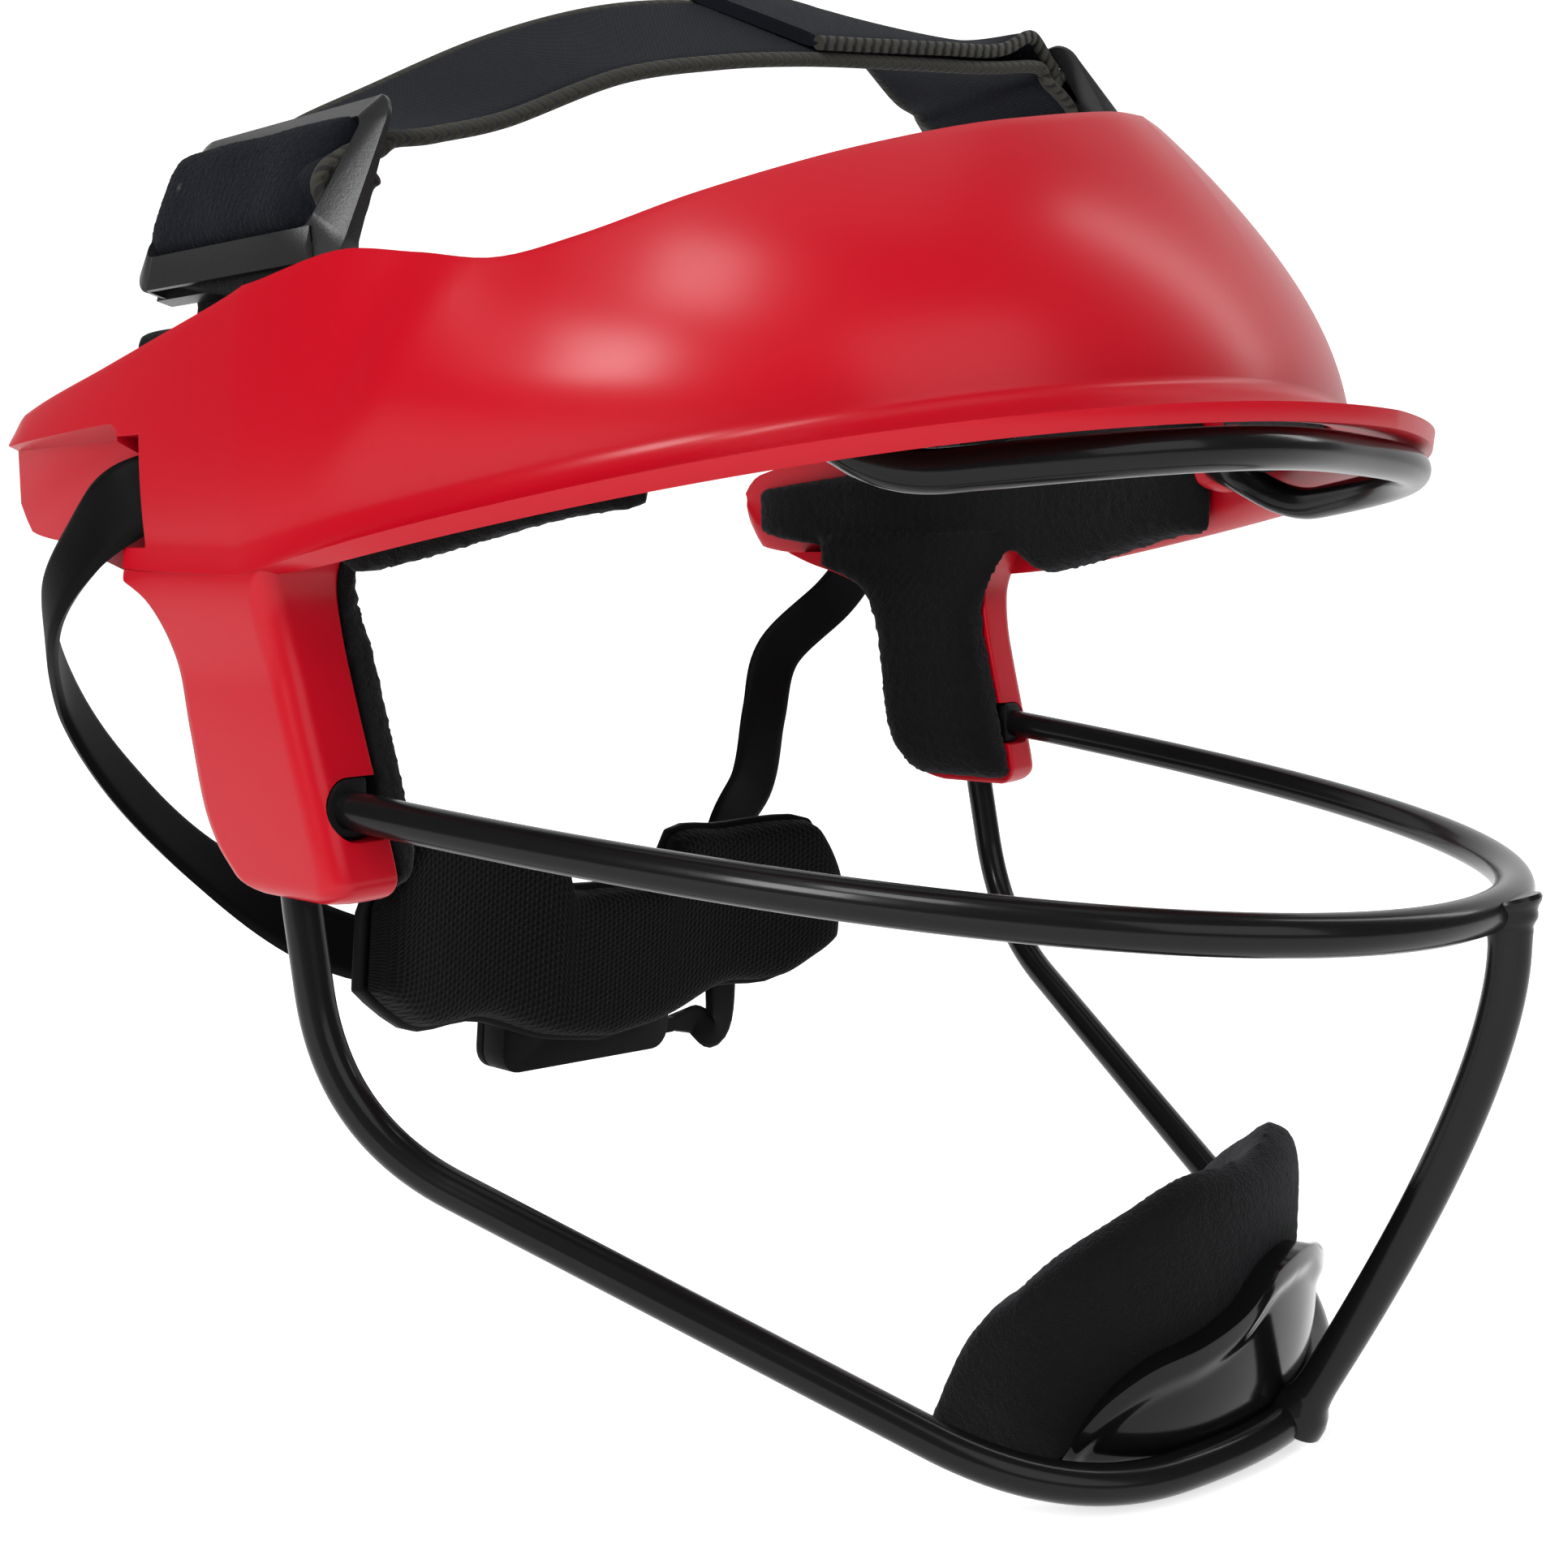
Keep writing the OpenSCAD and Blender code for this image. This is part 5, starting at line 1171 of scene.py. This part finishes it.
# The cradle's pad
CURL, FLAT_W, CRADLE_W, SPAN = 0.0056, 22.0, 60.0, 21.0
CRADLE_TOP = [[0, 0.36], [0.2, 0.42], [0.26, 0.78], [0.5, 0.84], [0.8, 0.92], [0.88, 0.85], [1, 0.3]]
CRADLE_LOW = [[0, -1], [0.25, -0.9], [0.5, -0.68], [0.75, -0.66], [0.9, -0.45], [1, -0.25]]


def cradle_sheet(x, w, y):
    """The cradle's curled sheet at a depth y, from its lower edge to its upper one."""
    u = np.minimum(np.abs(x) / CRADLE_W, 1)
    low, high = SPAN * along(CRADLE_LOW, u) + 1, SPAN * along(CRADLE_TOP, u) - 1
    over = np.maximum(0, np.abs(x) - FLAT_W)
    n = unit(points(2 * CURL * over * np.sign(x), 1.0))
    px, py = x + n[:, 0] * y, -CURL * over**2 + n[:, 1] * y
    return on_cradle(px[:, None], py[:, None], low[:, None] + (high - low)[:, None] * w)


def make_cradle_pad():
    x, w = np.linspace(-59, 59, 130), np.linspace(0, 1, 44)
    ends = crown(np.linspace(0, 1, len(x)), 22, 2.2)
    share = 0.05 + 0.95 * crown(w, 10, 2.2)[None] * ends[:, None]
    grid = slab(cradle_sheet(x, w, -0.35), cradle_sheet(x, w, -5.0), share)
    v = np.concatenate([w, w[::-1], [0]]) * 36
    pad = make_mesh("cradle_pad_piece", grid, LINING, crease=60, uv=(x, v))
    stand_for(pad, "cradle", "cradle_pad", slot="felt")


# Fabric tabs that hold the loops
TAB_W, TAB_LOW, TAB_STRIDE, TAB_EASE = 33.0, 52.6, 7.0, 0.34
TAB_HOOK = [[0, -2.8, -2.5], [0, -2.6, 0.6], [0, -2.4, 2.2], [0, -1.3, 3.9], [0, 0.4, 4.3], [0, 1.9, 3.4],
            [0, 2.5, 1.2], [0, 2.6, -1.4]]


def make_tab(side, name, f, lay, start_y):
    """A strip from the band's inner wall up to a loop's lower bar, round which it hooks."""
    share = (start_y + 2 + TAB_W / 2 - TEMPLE) / (BACK - TEMPLE)
    x = HALF_W - TAIL_PULL * share**2 - BAND_T - STRAP_T / 2 - 1.5 * (1 + max(0, share))
    wall = np.array([[side * x, start_y, TAB_LOW], [side * x, start_y, TAB_LOW + lay]])
    hook = on_loop(f, TAB_HOOK)
    reach = np.linalg.norm(hook[0] - wall[1])
    count = int(reach // TAB_STRIDE)
    u = np.arange(1, count + 1) / (count + 1)
    along_y = np.array([[0, 1.0, 0]])
    ease = reach * TAB_EASE
    rise = bez([wall[1], wall[1] + (0, 0, ease), hook[0] - ease * unit(hook[1] - hook[0]), hook[0]], u)
    rise_wide = along_y + smooth_share(u)[:, None] * (f[1] - along_y)
    path = route(np.concatenate([wall, rise, hook]), 110)
    wides = np.concatenate([np.tile(along_y, (2, 1)), rise_wide, np.tile(f[1], (len(hook), 1))])
    axes = ribbon_axes(path, route(wides, 110))
    tab = flat_ribbon(name + "_webbing", path, *axes, TAB_W, STRAP_T, PLUSH, 40)
    stand_for(tab, "band", name, slot="elastic")


# The studio
def make_studio():
    """A pale floor that curves up into a backdrop, five soft lights and a dim sky."""
    floor_z = cad_box[0].z / MM - 1.2
    u = np.linspace(0, 1, 60)
    bend = np.clip((u - 0.55) / 0.25, 0, 1) * np.pi / 2
    rise = np.clip(u - 0.8, 0, None) * 9000
    depth = np.where(u < 0.55, -1500 + u * 5000, 1250 + 900 * np.sin(bend))
    height = floor_z + 900 * (1 - np.cos(bend)) + rise
    # The backdrop stands behind the object as the camera sees it
    away, side = unit(np.array([0.7776, 0.6168, 0])), np.array([0.6168, -0.7776, 0])
    across = np.linspace(-4000, 4000, 3)
    grid = depth[:, None, None] * away + across[:, None] * side + points(0, 0, height)[:, None]
    f = Finish("studio_floor")
    cloud = f.noise(0.7, 2.0)
    pale = f.surface(
        Base_Color=f.blend(cloud, (0.86, 0.86, 0.86), (0.9, 0.9, 0.9)),
        Roughness=0.9,
        Specular_IOR_Level=0.1,
        Emission_Color=(1, 1, 1),
        Emission_Strength=0.62,
    )
    floor = make_mesh("studio_floor", grid[::-1], pale, ring=False, cap=False, crease=80)
    for name, at, aim, width, height_m, power in (
        ("side_softbox", (-1.02, -0.19, 0.54), (-0.078, -0.04, 0.05), 0.26, 0.46, 9),
        ("high_softbox", (-0.66, -0.28, 1.08), (-0.07, -0.05, 0.06), 0.3, 0.42, 6),
        ("front_strip", (0.9, -0.62, 0.84), (-0.02, -0.08, 0.06), 0.16, 0.9, 3.5),
        ("front_softbox", (-0.35, -1.45, 0.75), (0, -0.04, 0.02), 1.0, 1.0, 7),
        ("top_softbox", (0.1, 0.1, 1.5), (0, 0, 0), 1.2, 1.2, 3.5),
    ):
        data = bpy.data.lights.new(name, "AREA")
        data.shape, data.size, data.size_y, data.energy = "RECTANGLE", width, height_m, power
        lamp = bpy.data.objects.new(name, data)
        lamp.location = at
        lamp.rotation_euler = (Vector(aim) - Vector(at)).to_track_quat("-Z", "Y").to_euler()
        bpy.context.scene.collection.objects.link(lamp)
    world = bpy.data.worlds.new("studio_sky")
    world.use_nodes = True
    world.node_tree.nodes["Background"].inputs[0].default_value = (1, 1, 1, 1)
    world.node_tree.nodes["Background"].inputs[1].default_value = 0.16
    bpy.context.scene.world = world
    bpy.context.scene.view_settings.view_transform = "Standard"


make_studio()
make_shell()
make_cage()
side_pad(RIGHT, "side_pad_right")
side_pad(LEFT, "side_pad_left")
brow_lining()
make_cup()
make_chin_pad()
make_strap()
make_pile()
make_tab(RIGHT, "tab_right", LOOP_R, 6.6, 22)
make_tab(LEFT, "tab_left", LOOP_L, 4, 13)
make_side_band(RIGHT, "side_band_right")
make_side_band(LEFT, "side_band_left")
make_cradle_pad()
make_loop("loop_right", LOOP_R)
make_loop("loop_left", LOOP_L)
make_grommet(RIGHT, "bar_grommet_right")
make_grommet(LEFT, "bar_grommet_left")
dressed("cradle_plate", "cradle", 0.5, "dial_black")
dressed("dial_base", "cradle", 0.35, "dial_black")
dressed("dial_cover", "cradle", 0.35, "dial_black")
dressed("dial_knob", "dial", 0.3, "dial_black")
# Nodes that show as they are
for finish, names in (
    (BLACK_STEEL, ("tab_rivet_right", "tab_rivet_left", "band_rivet_right", "band_rivet_left")),
    (STEEL, ("dial_pinion", "dial_screw", "detent_spring")),
    (MATTE, ("rack_right", "rack_left")),
):
    for name in names:
        nodes[name].data.materials.clear()
        nodes[name].data.materials.append(finish)
